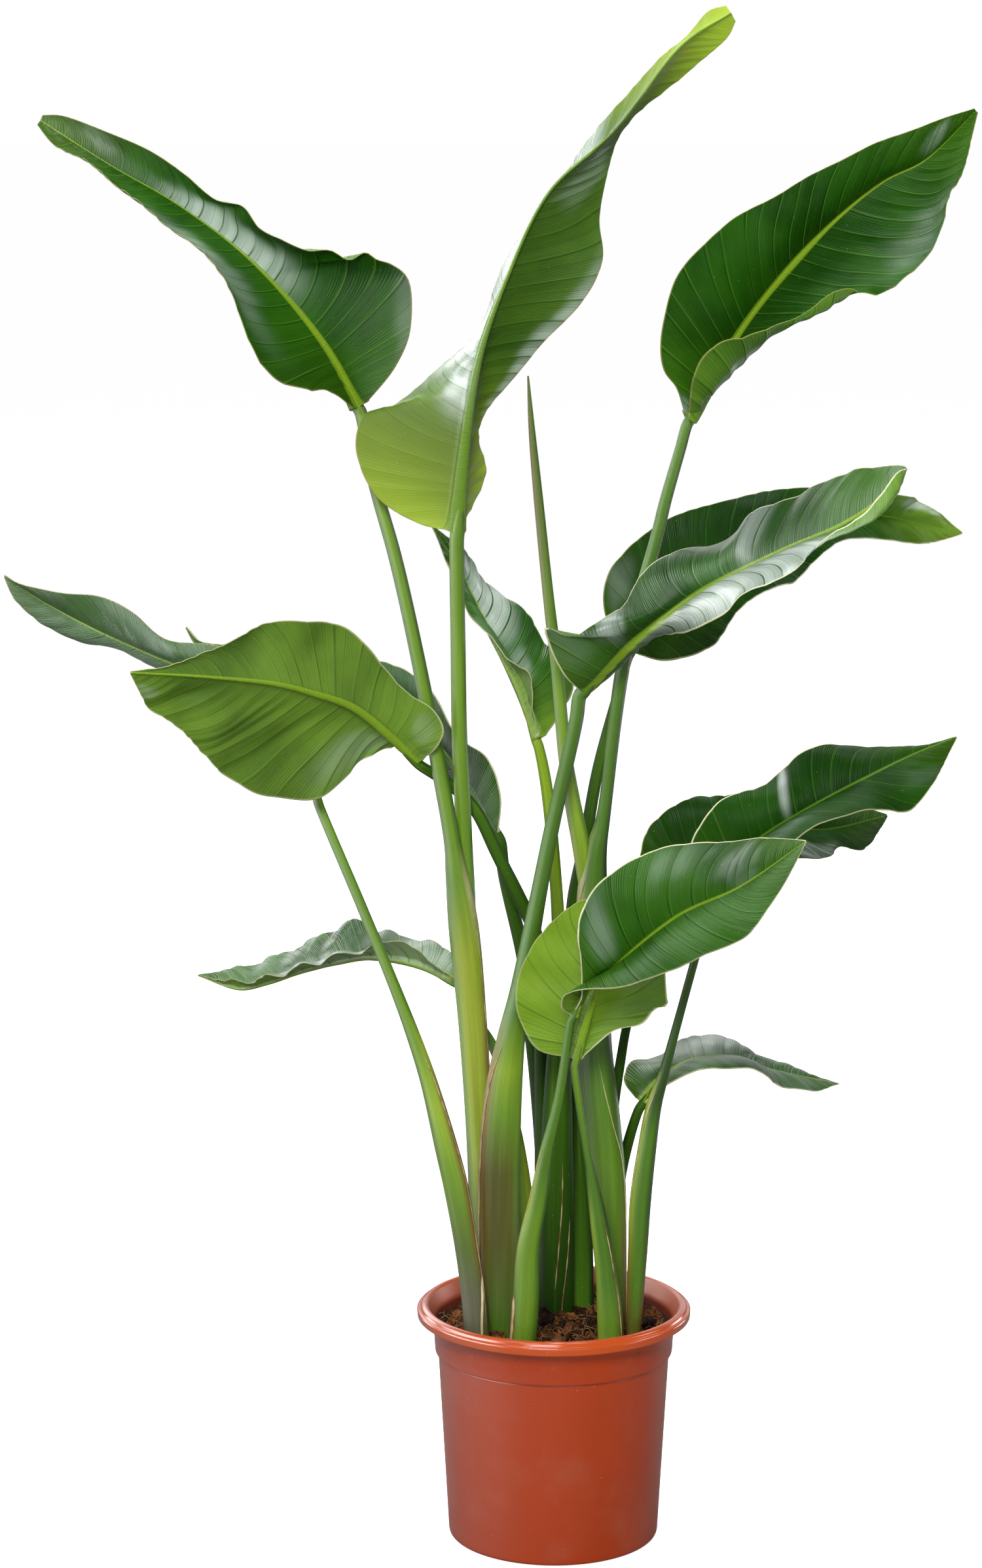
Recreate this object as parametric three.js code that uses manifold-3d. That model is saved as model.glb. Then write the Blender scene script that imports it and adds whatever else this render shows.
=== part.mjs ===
// Potted bird of paradise: fifteen leaves and one rolled new leaf in a terracotta nursery pot.
// Millimetres, +Z up. The origin is the middle of the underside of the pot.
import * as THREE from 'three';
import { mergeVertices } from 'three/addons/utils/BufferGeometryUtils.js';
import Module from 'manifold-3d';

// Driving dimensions
const POT_HEIGHT = 210;
const POT_WALL = 1.6;
const FLOOR_THICKNESS = 2.6;
const BASE_RADIUS = 92.4;
const BASE_CORNER = 6;
const STEP_HEIGHT = 167;
const STEP_RADIUS = 101.6;
const COLLAR_RADIUS = 104.2;
const NECK_RADIUS = 106;
const NECK_HEIGHT = 199;
const LIP_RADIUS = 120;
const MOUTH_RADIUS = 110;
const SOIL_LEVEL = 190;
const SOIL_EDGE = 184;
const SOIL_RELIEF = 3;
const CLEARANCE = 0.35;
const SOIL_GAP = 0.75;
const BLADE_THICKNESS = 0.9;
const TIP_HALF_WIDTH = 1.2;
const RIB_HEIGHT = 1.4;
const RIB_TIP_HEIGHT = 0.3;
const RIB_TIP_HALF_WIDTH = 0.5;
const WIDEST_RIB_SHARE = 0.4;
const NECK_LENGTH = 5;
const NECK_DROP = 0.72;
const NECK_GAP = 0.6;
const FREE_LENGTH = 24;

// How finely the curved pieces are divided
const POT_SIDES = 44;
const SOIL_SIDES = 40;
const SOIL_RINGS = 7;
const STALK_SIDES = 8;
const BLADE_ROWS = 14;
const SIDE_COLUMNS = 3;
const FOLD_SHARE = 0.55;
const END_CROWDING = 0.5;

// Each stalk runs from the soil to its blade. A point is x, y, z, half width and half depth.
// Each blade has its rib from base to tip, and the points of its upper and lower edges between
// those ends. A fold is a line inside an edge where the blade turns back on itself. Face is 1
// where the glossy upper side follows the turn from the upper edge to the lower one, else -1.
const LEAVES = {
  leaf_01: {
    stalk: [[-54, -6, 166, 14, 11], [-60, -4, 263, 13, 11], [-65, -2, 368, 12, 10.5],
      [-71, 0, 462, 12.5, 10.5], [-79, 0, 549, 13, 10.5], [-85, -2, 595, 9.3, 8.4],
      [-88, -2, 618, 7.3, 7.3], [-100, 0, 688, 6.8, 6.8], [-122, 4, 801, 6, 6],
      [-137, 12, 866, 5.8, 5.8], [-155, 22, 930, 5.5, 5.5]],
    rib: [[-167, 27, 990], [-198, 20, 1047], [-254, 18, 1112], [-316, 30, 1159], [-377, 54, 1193],
      [-440, 88, 1231]],
    upper: [[-135, 0, 1027], [-122, -16, 1060], [-124, -22, 1101], [-138, -25, 1113],
      [-150, -25, 1117], [-159, -26, 1123], [-172, -26, 1117], [-188, -27, 1125], [-208, -26, 1124],
      [-229, -21, 1133], [-247, -15, 1143], [-261, -8, 1160], [-285, 4, 1165], [-312, 20, 1187],
      [-343, 36, 1206], [-382, 58, 1222], [-421, 78, 1235]],
    lower: [[-192, 0, 1006], [-206, -12, 1007], [-233, -26, 1016], [-246, -31, 1030],
      [-260, -34, 1057], [-272, -35, 1094], [-298, -29, 1125], [-333, -12, 1150], [-368, 15, 1176],
      [-398, 44, 1197], [-428, 76, 1210]],
    face: -1, arch: -6, wave: 1, waves: 6, tip: 5,
  },
  leaf_02: {
    stalk: [[-69, 2, 496, 4, 4], [-73, 4, 542, 5.7, 5.7], [-76, 8, 582, 7, 7],
      [-78, 9, 613, 7.3, 7.3], [-80, 6, 668, 7, 7], [-82, 2, 712, 6.7, 6.7],
      [-83, -6, 791, 6.4, 6.4], [-85, -15, 872, 6.2, 6.2]],
    rib: [[-85, -15, 889], [-78, -23, 958], [-65, -33, 1037], [-43, -39, 1100], [-7, -45, 1173],
      [46, -45, 1222], [102, -49, 1292], [141, -48, 1317]],
    upper: [[-116, -8, 895], [-152, -6, 918], [-169, -4, 960], [-162, -3, 987], [-141, 3, 993],
      [-126, 8, 1002], [-103, 17, 1020], [-85, 24, 1036], [-73, 25, 1048], [-61, 26, 1072],
      [-49, 24, 1100], [-12, 13, 1162], [32, 1, 1221], [82, -20, 1280], [105, -30, 1298],
      [112, -35, 1306], [123, -41, 1319]],
    lower: [[-67, 8, 915], [-59, 9, 939], [-64, 3, 966], [-59, -3, 988], [-18, -13, 1039],
      [20, -22, 1081], [38, -26, 1117], [36, -20, 1152], [47, -18, 1209], [63, -18, 1231],
      [108, -27, 1271], [139, -38, 1298]],
    face: -1, arch: 5, wave: 2, waves: 5, tip: 9,
  },
  leaf_03: {
    stalk: [[53, -15, 166, 11, 9.8], [49, -15, 262, 14.3, 12], [46, -13, 325, 15.9, 12.7],
      [40, -12, 383, 16.5, 13], [34, -11, 441, 15.8, 12.7], [32, -10, 528, 14, 11.3],
      [32, -9, 579, 12.9, 10.3], [35, -8, 613, 9.5, 8.1], [41, -6, 642, 6.2, 6.2],
      [59, -4, 782, 6.1, 6.1], [85, 0, 881, 5.5, 5.5], [93, 0, 915, 5.2, 5.2],
      [105, 1, 958, 4.8, 4.8]],
    rib: [[112, 0, 983], [151, 16, 1050], [212, 42, 1125], [276, 58, 1179], [314, 64, 1198],
      [357, 72, 1239]],
    upper: [[100, -9, 1010], [90, -12, 1024], [87, -14, 1055], [99, -11, 1099], [127, -6, 1134],
      [184, 8, 1170], [216, 17, 1186], [249, 26, 1204], [284, 38, 1217], [319, 50, 1230]],
    lower: [[113, -44, 1021], [131, -64, 1049], [156, -67, 1056], [187, -59, 1065],
      [222, -39, 1087], [237, -32, 1091], [267, -15, 1088], [306, 5, 1111], [325, 19, 1143],
      [331, 30, 1165], [343, 43, 1185]],
    fold: [[132, -26, 1008], [163, -35, 1040], [192, -32, 1062], [226, -22, 1078], [253, 0, 1095],
      [282, 21, 1121], [308, 36, 1151], [331, 52, 1187]],
    face: 1, arch: 6, wave: 2, waves: 6, tip: 3,
  },
  leaf_04: {
    stalk: [[-48, -34, 166, 14, 10], [-48, -36, 238, 17, 11.5], [-48, -38, 303, 18, 11.5],
      [-47, -39, 366, 17.5, 11.3], [-43, -40, 420, 15.2, 10.6], [-37, -41, 461, 11.8, 10],
      [-30, -41, 495, 9.8, 9.3], [-16, -40, 574, 7.2, 7.2], [-3, -38, 641, 6.4, 6.4],
      [17, -38, 732, 6, 6]],
    rib: [[25, -40, 754], [50, -47, 784], [78, -56, 814], [118, -72, 845], [187, -108, 885],
      [229, -132, 907], [257, -146, 928], [279, -158, 955]],
    upper: [[5, -62, 775], [-7, -74, 801], [-10, -80, 816], [10, -75, 808], [31, -66, 818],
      [54, -52, 829], [71, -44, 856], [98, -42, 874], [142, -52, 886], [188, -76, 923],
      [217, -96, 938], [246, -118, 950], [263, -134, 955], [275, -150, 957]],
    lower: [[50, -27, 772], [78, -36, 801], [108, -71, 811], [136, -103, 829], [151, -118, 849],
      [174, -132, 858], [193, -142, 872], [201, -150, 885], [216, -160, 900], [235, -170, 913],
      [257, -180, 938], [270, -172, 953]],
    fold: [[52, -37, 777], [81, -51, 805], [111, -79, 827], [140, -101, 851], [170, -118, 868],
      [196, -134, 884], [217, -158, 897], [236, -174, 906], [254, -184, 918], [269, -182, 936]],
    face: 1, arch: 5, wave: 1.5, waves: 5, tip: 3,
  },
  leaf_05: {
    stalk: [[25, 48, 166, 12, 9.5], [24, 50, 249, 11.5, 9.5], [20, 51, 370, 10, 9],
      [17, 46, 489, 7.5, 7.2], [17, 42, 557, 6.2, 6.2], [26, 41, 607, 5.7, 5.7],
      [38, 42, 677, 5.1, 5.1], [58, 48, 753, 4.2, 4.2]],
    rib: [[67, 50, 778], [92, 67, 819], [146, 104, 855], [206, 141, 877], [278, 179, 884],
      [370, 210, 864]],
    upper: [[44, 46, 807], [44, 52, 840], [64, 65, 867], [95, 82, 888], [140, 107, 901],
      [217, 147, 911], [284, 182, 904], [315, 196, 899], [330, 203, 897], [347, 210, 885],
      [362, 214, 871]],
    lower: [[94, 50, 770], [136, 65, 780], [165, 83, 814], [203, 104, 830], [210, 107, 831],
      [228, 123, 846], [258, 145, 865], [283, 163, 864], [317, 182, 858], [342, 195, 857],
      [358, 203, 860]],
    face: 1, arch: 5, wave: 2, waves: 5,
  },
  leaf_06: {
    stalk: [[-8, 54, 166, 9, 8], [-8, 52, 305, 8.5, 8], [-9, 45, 427, 8, 7.8], [-12, 36, 488, 7, 7],
      [-17, 27, 535, 6.3, 6.3], [-31, 20, 568, 6, 6], [-50, 17, 607, 5.6, 5.6],
      [-67, 19, 642, 5.4, 5.4], [-81, 23, 658, 5.2, 5.2], [-97, 21, 671, 5, 5],
      [-110, 12, 682, 4.5, 4.5]],
    rib: [[-117, 0, 692], [-140, -15, 715], [-173, -41, 744], [-204, -66, 759],
      [-233, -89, 770], [-286, -125, 781], [-347, -162, 790]],
    upper: [[-104, -14, 701], [-95, -18, 718], [-102, -17, 736], [-126, -21, 753], [-145, -27, 775],
      [-175, -45, 811], [-203, -65, 819], [-239, -87, 821], [-273, -113, 807], [-318, -144, 793]],
    lower: [[-130, 2, 703], [-162, -5, 693], [-182, -16, 675], [-206, -30, 662],
      [-237, -54, 668], [-259, -74, 679], [-283, -99, 703], [-316, -127, 742],
      [-335, -143, 760]],
    face: 1, arch: 6, wave: 2, waves: 5,
  },
  leaf_07: {
    stalk: [[-65, -54, 166, 10.8, 8.6], [-70, -54, 231, 10.7, 8.6], [-76, -53, 274, 10.1, 8.6],
      [-85, -52, 328, 10.7, 9], [-93, -51, 362, 10.1, 9], [-109, -45, 422, 7.3, 7.3],
      [-123, -40, 463, 5.9, 5.9], [-137, -34, 499, 5, 5], [-165, -18, 565, 4.5, 4.5],
      [-201, 4, 638, 4.2, 4.2]],
    rib: [[-207, 8, 654], [-224, 27, 705], [-259, 47, 742], [-330, 74, 764], [-397, 93, 790],
      [-451, 105, 817], [-482, 110, 837]],
    upper: [[-224, 11, 718], [-253, 30, 766], [-290, 51, 784], [-337, 63, 786],
      [-364, 64, 811], [-396, 71, 823], [-428, 82, 826], [-468, 101, 831]],
    lower: [[-214, 50, 689], [-255, 79, 719], [-338, 102, 754], [-377, 107, 770],
      [-416, 111, 779], [-452, 110, 796], [-474, 110, 817]],
    face: -1, arch: 4, wave: 2, waves: 5,
  },
  leaf_08: {
    stalk: [[-4, 76, 166, 8, 7], [-7, 74, 305, 8, 7], [-14, 68, 396, 7.4, 7],
      [-21, 60, 456, 6.8, 6.8], [-26, 52, 504, 6.3, 6.3], [-44, 46, 586, 5.6, 5.6],
      [-50, 45, 602, 5, 5]],
    rib: [[-52, 45, 615], [-75, 61, 658], [-119, 95, 711], [-188, 140, 744], [-262, 182, 757],
      [-315, 212, 761], [-332, 221, 777]],
    upper: [[-46, 38, 654], [-58, 45, 685], [-83, 58, 702], [-103, 79, 736], [-134, 103, 756],
      [-189, 141, 765], [-261, 182, 766], [-300, 203, 764], [-320, 214, 766]],
    lower: [[-65, 57, 640], [-84, 72, 652], [-108, 88, 684], [-150, 115, 706], [-237, 162, 732],
      [-292, 197, 751], [-322, 215, 760]],
    face: -1, arch: 4, wave: 2, waves: 4,
  },
  leaf_09: {
    stalk: [[-23, 12, 166, 7.5, 6], [-24, 12, 266, 7.5, 6.4], [-26, 12, 305, 7, 6.4],
      [-31, 14, 345, 5.8, 6], [-37, 16, 376, 5.2, 5.2], [-44, 19, 411, 4.8, 4.8],
      [-55, 24, 437, 4.5, 4.5], [-71, 28, 461, 4, 4], [-80, 28, 479, 3.7, 3.7]],
    rib: [[-86, 28, 492], [-116, 38, 504], [-161, 53, 508], [-192, 66, 500], [-223, 79, 489],
      [-254, 93, 475], [-279, 105, 467], [-318, 128, 474]],
    upper: [[-91, 61, 509], [-109, 72, 517], [-129, 82, 518], [-153, 93, 522], [-177, 103, 529],
      [-191, 108, 520], [-204, 112, 517], [-208, 113, 510], [-226, 118, 504], [-240, 122, 495],
      [-258, 125, 488], [-291, 130, 479]],
    lower: [[-112, 13, 514], [-131, 13, 530], [-156, 16, 524], [-184, 28, 514],
      [-213, 42, 503], [-243, 61, 489], [-270, 84, 478], [-297, 107, 474]],
    face: -1, arch: 3, wave: 3, waves: 7,
  },
  leaf_10: {
    stalk: [[3, 29, 166, 14.5, 9.5], [3, 29, 264, 15, 10], [3, 29, 342, 14, 9.5],
      [4, 29, 407, 11.5, 9], [5, 28, 467, 8, 7.8], [3, 28, 553, 5.7, 5.7],
      [-7, 28, 663, 5.1, 5.1], [-11, 29, 692, 4.5, 4.5]],
    rib: [[-13, 29, 704], [-28, 38, 743], [-42, 46, 771], [-63, 56, 809], [-83, 67, 848],
      [-106, 78, 884]],
    upper: [[7, 46, 729], [17, 56, 747], [-6, 68, 781], [-24, 74, 808], [-53, 77, 830],
      [-68, 80, 845], [-78, 80, 862]],
    lower: [[-20, 14, 737], [-24, 15, 764], [-40, 18, 777], [-59, 28, 795], [-80, 44, 824],
      [-94, 60, 856]],
    face: -1, arch: 3, wave: 2, waves: 4,
  },
  leaf_11: {
    stalk: [[68, -38, 166, 5.7, 5.7], [70, -38, 226, 7.4, 6.6], [72, -38, 269, 8.5, 7.2],
      [74, -37, 312, 9.3, 7.5], [79, -36, 355, 8.2, 7.4], [85, -35, 395, 6.8, 6.8],
      [93, -34, 422, 4.8, 4.8], [102, -33, 457, 3.9, 3.9], [127, -28, 550, 3.6, 3.6]],
    rib: [[130, -28, 563], [141, -21, 599], [176, -8, 625], [220, 7, 649], [269, 25, 672],
      [313, 43, 690], [350, 58, 702]],
    upper: [[113, -36, 593], [115, -31, 625], [133, -16, 652], [152, 2, 661], [179, 19, 665],
      [211, 36, 690], [232, 42, 697], [291, 51, 694], [322, 54, 695]],
    lower: [[156, -41, 589], [184, -42, 617], [209, -39, 632], [246, -27, 649],
      [284, -14, 649], [305, 0, 648], [323, 19, 662]],
    face: 1, arch: 5, wave: 2, waves: 5,
  },
  leaf_12: {
    stalk: [[47, 28, 166, 5.8, 5.8], [47, 26, 250, 6.4, 6.4], [48, 23, 311, 6.2, 6.2],
      [51, 21, 372, 5.2, 5.2], [58, 22, 420, 4.3, 4.3], [63, 23, 450, 4, 4],
      [76, 24, 503, 3.7, 3.7], [87, 24, 544, 3.4, 3.4]],
    rib: [[91, 24, 555], [104, 38, 593], [141, 68, 617], [189, 101, 615], [243, 134, 606],
      [303, 172, 612]],
    upper: [[72, 18, 583], [75, 23, 608], [83, 35, 627], [115, 66, 645], [158, 100, 643],
      [208, 136, 639], [263, 164, 627]],
    lower: [[121, 31, 557], [162, 48, 573], [193, 69, 586], [221, 91, 588], [246, 111, 586],
      [255, 124, 591], [280, 146, 586], [297, 165, 602]],
    face: 1, arch: 4, wave: 2, waves: 4,
  },
  leaf_13: {
    stalk: [[-30, -62, 166, 11.9, 9.5], [-25, -64, 234, 11.5, 9.2], [-23, -66, 278, 9.8, 8.3],
      [-15, -70, 322, 7.8, 7.4], [-8, -74, 366, 5.6, 5.6], [2, -78, 410, 4.4, 4.4],
      [14, -85, 474, 3.3, 3.3]],
    rib: [[16, -86, 487], [28, -96, 513], [50, -111, 537], [100, -144, 586],
      [149, -177, 617], [198, -210, 660]],
    upper: [[20, -103, 513], [20, -116, 544], [18, -122, 577], [35, -128, 610],
      [83, -142, 641], [139, -168, 652], [172, -190, 659]],
    lower: [[4, -102, 497], [6, -110, 510], [23, -122, 517], [49, -133, 522],
      [74, -145, 531], [119, -171, 557], [149, -188, 575], [163, -198, 592],
      [187, -210, 636]],
    face: 1, arch: 5, wave: 1.5, waves: 5,
  },
  leaf_14: {
    stalk: [[50, -54, 166, 11.9, 8.3], [47, -55, 220, 10.7, 8], [44, -56, 253, 9, 7.2],
      [38, -58, 297, 7.6, 6.4], [31, -60, 340, 4.8, 4.8], [26, -62, 368, 3.6, 3.6],
      [20, -66, 406, 3.3, 3.3], [17, -69, 434, 3.3, 3.3]],
    rib: [[17, -70, 445], [24, -74, 474], [31, -79, 500], [38, -81, 532], [45, -83, 560],
      [52, -84, 588]],
    upper: [[-15, -62, 452], [-31, -62, 477], [-34, -64, 505], [-28, -68, 528],
      [-15, -72, 552], [3, -75, 572], [22, -78, 585]],
    lower: [[48, -67, 468], [75, -63, 476], [86, -62, 486], [95, -62, 488], [94, -63, 497],
      [93, -66, 527], [83, -73, 562]],
    face: -1, arch: 4, wave: 2, waves: 5,
  },
  leaf_15: {
    stalk: [[50, 60, 166, 6.4, 6.4], [52, 55, 233, 6.4, 6.4], [56, 46, 290, 5.8, 5.8],
      [63, 36, 333, 4.9, 4.9], [71, 26, 364, 4.3, 4.3]],
    rib: [[76, 20, 384], [88, 25, 400], [115, 40, 416], [153, 62, 416], [196, 88, 397],
      [259, 128, 374]],
    upper: [[62, 35, 401], [68, 48, 414], [95, 64, 415], [123, 82, 430], [152, 97, 423],
      [170, 104, 412], [190, 112, 402], [239, 127, 380]],
    lower: [[98, 12, 402], [136, 20, 414], [165, 32, 412], [188, 46, 400], [209, 65, 385],
      [235, 92, 376]],
    face: 1, arch: 4, wave: 2, waves: 4,
  },
};

// The rolled new leaf rises out of the sheath of leaf_03.
const NEW_LEAF = [[31, -9, 516, 2.4, 2.4], [29, -9, 557, 3.8, 3.8], [25, -8, 591, 6.2, 6.2],
  [22, -8, 619, 7.6, 7.6], [15, -9, 655, 7, 7], [8, -10, 699, 5.9, 5.9],
  [1, -12, 772, 5.3, 5.3], [-6, -13, 830, 4.7, 4.7], [-16, -15, 926, 3.9, 3.9],
  [-21, -16, 978, 2.7, 2.7], [-24, -17, 1020, 0.8, 0.8]];

const wasm = await Module();
wasm.setup();

const vector = ([x, y, z]) => new THREE.Vector3(x, y, z);
const mix = (a, b, share) => a + (b - a) * share;

function curveThrough(points) {
  const curve = new THREE.CatmullRomCurve3(points, false, 'centripetal');
  curve.arcLengthDivisions = 400;
  return curve;
}

// A BufferGeometry from a list of vectors and a list of triangles.
function geometryFrom(vertices, triangles) {
  const geometry = new THREE.BufferGeometry();
  const flat = vertices.flatMap((v) => [v.x, v.y, v.z]);
  geometry.setAttribute('position', new THREE.Float32BufferAttribute(flat, 3));
  geometry.setIndex(triangles.flat());
  return geometry;
}

// Closed tube through rings of equal size, with a fan over each end.
function tubeThroughRings(rings) {
  const sides = rings[0].length;
  const vertices = rings.flat();
  const triangles = [];
  for (let ring = 0; ring < rings.length - 1; ring += 1) {
    for (let side = 0; side < sides; side += 1) {
      const next = (side + 1) % sides;
      const [a, b] = [ring * sides + side, ring * sides + next];
      triangles.push([a, b, b + sides], [a, b + sides, a + sides]);
    }
  }
  const last = (rings.length - 1) * sides;
  for (let side = 1; side < sides - 1; side += 1) {
    triangles.push([0, side + 1, side], [last, last + side, last + side + 1]);
  }
  return geometryFrom(vertices, triangles);
}

// Stalk of oval section through points of x, y, z, half width and half depth.
function stalkGeometry(points, growth = 0) {
  const path = curveThrough(points.map(vector));
  const spans = points.length - 1;
  const rings = [];
  for (let step = 0; step <= spans * 2; step += 1) {
    const place = step / 2;
    const low = Math.min(Math.floor(place), spans - 1);
    const share = place - low;
    const centre = path.getPoint(place / spans);
    const along = path.getTangent(place / spans);
    const depth = new THREE.Vector3(0, 1, 0).addScaledVector(along, -along.y).normalize();
    const across = depth.clone().cross(along);
    const halfWidth = mix(points[low][3], points[low + 1][3], share) + growth;
    const halfDepth = mix(points[low][4], points[low + 1][4], share) + growth;
    if (step === 0) centre.addScaledVector(along, -growth);
    if (step === spans * 2) centre.addScaledVector(along, growth);
    rings.push(Array.from({ length: STALK_SIDES }, (_, side) => {
      const angle = (2 * Math.PI * side) / STALK_SIDES;
      return centre.clone().addScaledVector(across, halfWidth * Math.cos(angle))
        .addScaledVector(depth, halfDepth * Math.sin(angle));
    }));
  }
  return tubeThroughRings(rings);
}

// Direction from the rib to an edge, square to the rib.
function sideways(from, to, along) {
  const side = vector(to).sub(from);
  return side.addScaledVector(along, -side.dot(along)).normalize();
}

// Edge of a blade from its base to its tip, with both ends beside the ends of the rib.
function edgeCurve(points, rib, baseHalfWidth, tipHalfWidth) {
  const [base, tip] = [rib.getPointAt(0), rib.getPointAt(1)];
  const start = sideways(base, points[0], rib.getTangentAt(0)).multiplyScalar(baseHalfWidth);
  const end = sideways(tip, points.at(-1), rib.getTangentAt(1)).multiplyScalar(tipHalfWidth);
  return curveThrough([start.add(base), ...points.map(vector), end.add(tip)]);
}

// Point at a share of the way from rib to edge on the parabola through the fold.
function acrossBlade(rib, fold, edge, share) {
  const ribWeight = ((share - FOLD_SHARE) * (share - 1)) / FOLD_SHARE;
  const foldWeight = (share * (share - 1)) / (FOLD_SHARE * (FOLD_SHARE - 1));
  const edgeWeight = (share * (share - FOLD_SHARE)) / (1 - FOLD_SHARE);
  return rib.clone().multiplyScalar(ribWeight).addScaledVector(fold, foldWeight)
    .addScaledVector(edge, edgeWeight);
}

// Rows of points over a blade, from its upper edge through the rib to its lower edge.
function bladeRows(leaf, ribRadius) {
  const rib = curveThrough(leaf.rib.map(vector));
  const tipHalfWidth = leaf.tip ?? TIP_HALF_WIDTH;
  const edges = [leaf.upper, leaf.lower].map((points) => (
    edgeCurve(points, rib, ribRadius, tipHalfWidth)));
  const foldLine = leaf.fold
    && edgeCurve(leaf.fold, rib, ribRadius * FOLD_SHARE, tipHalfWidth * FOLD_SHARE);
  const rows = [];
  for (let row = 0; row <= BLADE_ROWS; row += 1) {
    const even = row / BLADE_ROWS;
    const t = mix(even, (1 - Math.cos(Math.PI * even)) / 2, END_CROWDING);
    const middle = rib.getPointAt(t);
    const along = rib.getTangentAt(t);
    const envelope = Math.sin(Math.PI * t);
    const halves = edges.map((edge, index) => {
      const turn = index === 0 ? 1 : -1;
      const rim = edge.getPointAt(t);
      const span = rim.clone().sub(middle);
      const normal = along.clone().cross(span).normalize().multiplyScalar(turn * leaf.face);
      const ripple = leaf.wave * envelope * Math.sin(2 * Math.PI * (leaf.waves * t + index / 3));
      rim.addScaledVector(normal, ripple);
      const fold = index === 1 && foldLine
        ? foldLine.getPointAt(t)
        : middle.clone().lerp(rim, FOLD_SHARE).addScaledVector(normal, leaf.arch * envelope);
      const ribHalfWidth = mix(ribRadius, RIB_TIP_HALF_WIDTH, t);
      const ribShare = Math.min(WIDEST_RIB_SHARE, ribHalfWidth / span.length());
      return Array.from({ length: SIDE_COLUMNS + 1 }, (_, column) => (
        acrossBlade(middle, fold, rim, mix(ribShare, 1, column / SIDE_COLUMNS))));
    });
    rows.push([...halves[0].reverse(), middle, ...halves[1]]);
  }
  return rows;
}

// Unit normals of the blade at every point of its rows.
function rowNormals(rows) {
  return rows.map((points, row) => points.map((_, column) => {
    const along = rows[Math.min(row + 1, rows.length - 1)][column].clone()
      .sub(rows[Math.max(row - 1, 0)][column]);
    const across = points[Math.min(column + 1, points.length - 1)].clone()
      .sub(points[Math.max(column - 1, 0)]);
    return across.cross(along).normalize();
  }));
}

// Closed blade: both faces split alike, a rim round them, and the rib raised underneath.
function bladeGeometry(leaf) {
  const ribRadius = leaf.stalk.at(-1)[3];
  const rows = bladeRows(leaf, ribRadius);
  const normals = rowNormals(rows);
  const columns = rows[0].length;
  const middle = (columns - 1) / 2;
  const vertices = [];
  for (const side of [1, -1]) {
    rows.forEach((points, row) => points.forEach((point, column) => {
      const underside = side !== leaf.face;
      const ribHeight = mix(ribRadius * RIB_HEIGHT, RIB_TIP_HEIGHT, Math.sqrt(row / BLADE_ROWS));
      const raised = underside && column === middle ? ribHeight : 0;
      const lift = side * (BLADE_THICKNESS / 2 + raised);
      vertices.push(point.clone().addScaledVector(normals[row][column], lift));
    }));
  }
  const under = rows.length * columns;
  const triangles = [];
  const quad = (a, b, c, d) => triangles.push([a, b, c], [a, c, d]);
  for (let row = 0; row < rows.length - 1; row += 1) {
    for (let column = 0; column < columns - 1; column += 1) {
      const a = row * columns + column;
      const [b, c, d] = [a + 1, a + columns + 1, a + columns];
      quad(a, b, c, d);
      triangles.push([under + a, under + c, under + b], [under + a, under + d, under + c]);
    }
    const [near, far] = [row * columns, row * columns + columns - 1];
    quad(near, near + columns, under + near + columns, under + near);
    quad(far, under + far, under + far + columns, far + columns);
  }
  for (let column = 0; column < columns - 1; column += 1) {
    const last = (rows.length - 1) * columns + column;
    quad(column, under + column, under + column + 1, column + 1);
    quad(last, last + 1, under + last + 1, under + last);
  }
  return geometryFrom(vertices, triangles);
}

// The stalk ends under the start of the blade's rib, a hair short of it.
function stalkToBlade(leaf) {
  const [halfWidth, halfDepth] = leaf.stalk.at(-1).slice(3);
  const rows = bladeRows(leaf, halfWidth);
  const normal = rowNormals(rows)[0][(rows[0].length - 1) / 2];
  const along = curveThrough(leaf.rib.map(vector)).getTangentAt(0);
  const end = vector(leaf.rib[0]).addScaledVector(along, -NECK_GAP)
    .addScaledVector(normal, -leaf.face * halfDepth * NECK_DROP);
  const before = end.clone().addScaledVector(along, -NECK_LENGTH);
  const free = leaf.stalk.filter((point) => vector(point).distanceTo(end) > FREE_LENGTH);
  return [...free, ...[before, end].map(({ x, y, z }) => [x, y, z, halfWidth, halfDepth])];
}

function solidOf(geometry) {
  const bare = geometry.clone();
  bare.deleteAttribute('normal');
  bare.deleteAttribute('uv');
  const merged = mergeVertices(bare, 1e-4);
  return new wasm.Manifold(new wasm.Mesh({
    numProp: 3,
    vertProperties: merged.attributes.position.array,
    triVerts: Uint32Array.from(merged.index.array),
  }));
}

// Largest connected body of a solid, as a geometry.
function geometryOf(solid) {
  const bodies = solid.decompose();
  const body = bodies.reduce((best, next) => (next.volume() > best.volume() ? next : best));
  const mesh = body.getMesh();
  const geometry = new THREE.BufferGeometry();
  geometry.setAttribute('position', new THREE.BufferAttribute(mesh.vertProperties, 3));
  geometry.setIndex(new THREE.BufferAttribute(mesh.triVerts, 1));
  return geometry;
}

function cutClear(geometry, tools) {
  return geometryOf(tools.reduce((body, tool) => body.subtract(solidOf(tool)), solidOf(geometry)));
}

function lathe(profile, sides) {
  const turned = new THREE.LatheGeometry(profile.map(([r, z]) => new THREE.Vector2(r, z)), sides);
  turned.rotateX(Math.PI / 2);
  return turned;
}

// Inner radius of the pot at a height.
function innerRadius(z) {
  const outer = z < STEP_HEIGHT
    ? mix(BASE_RADIUS, STEP_RADIUS, z / STEP_HEIGHT)
    : mix(COLLAR_RADIUS, NECK_RADIUS, (z - STEP_HEIGHT) / (NECK_HEIGHT - STEP_HEIGHT));
  return outer - POT_WALL;
}

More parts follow.
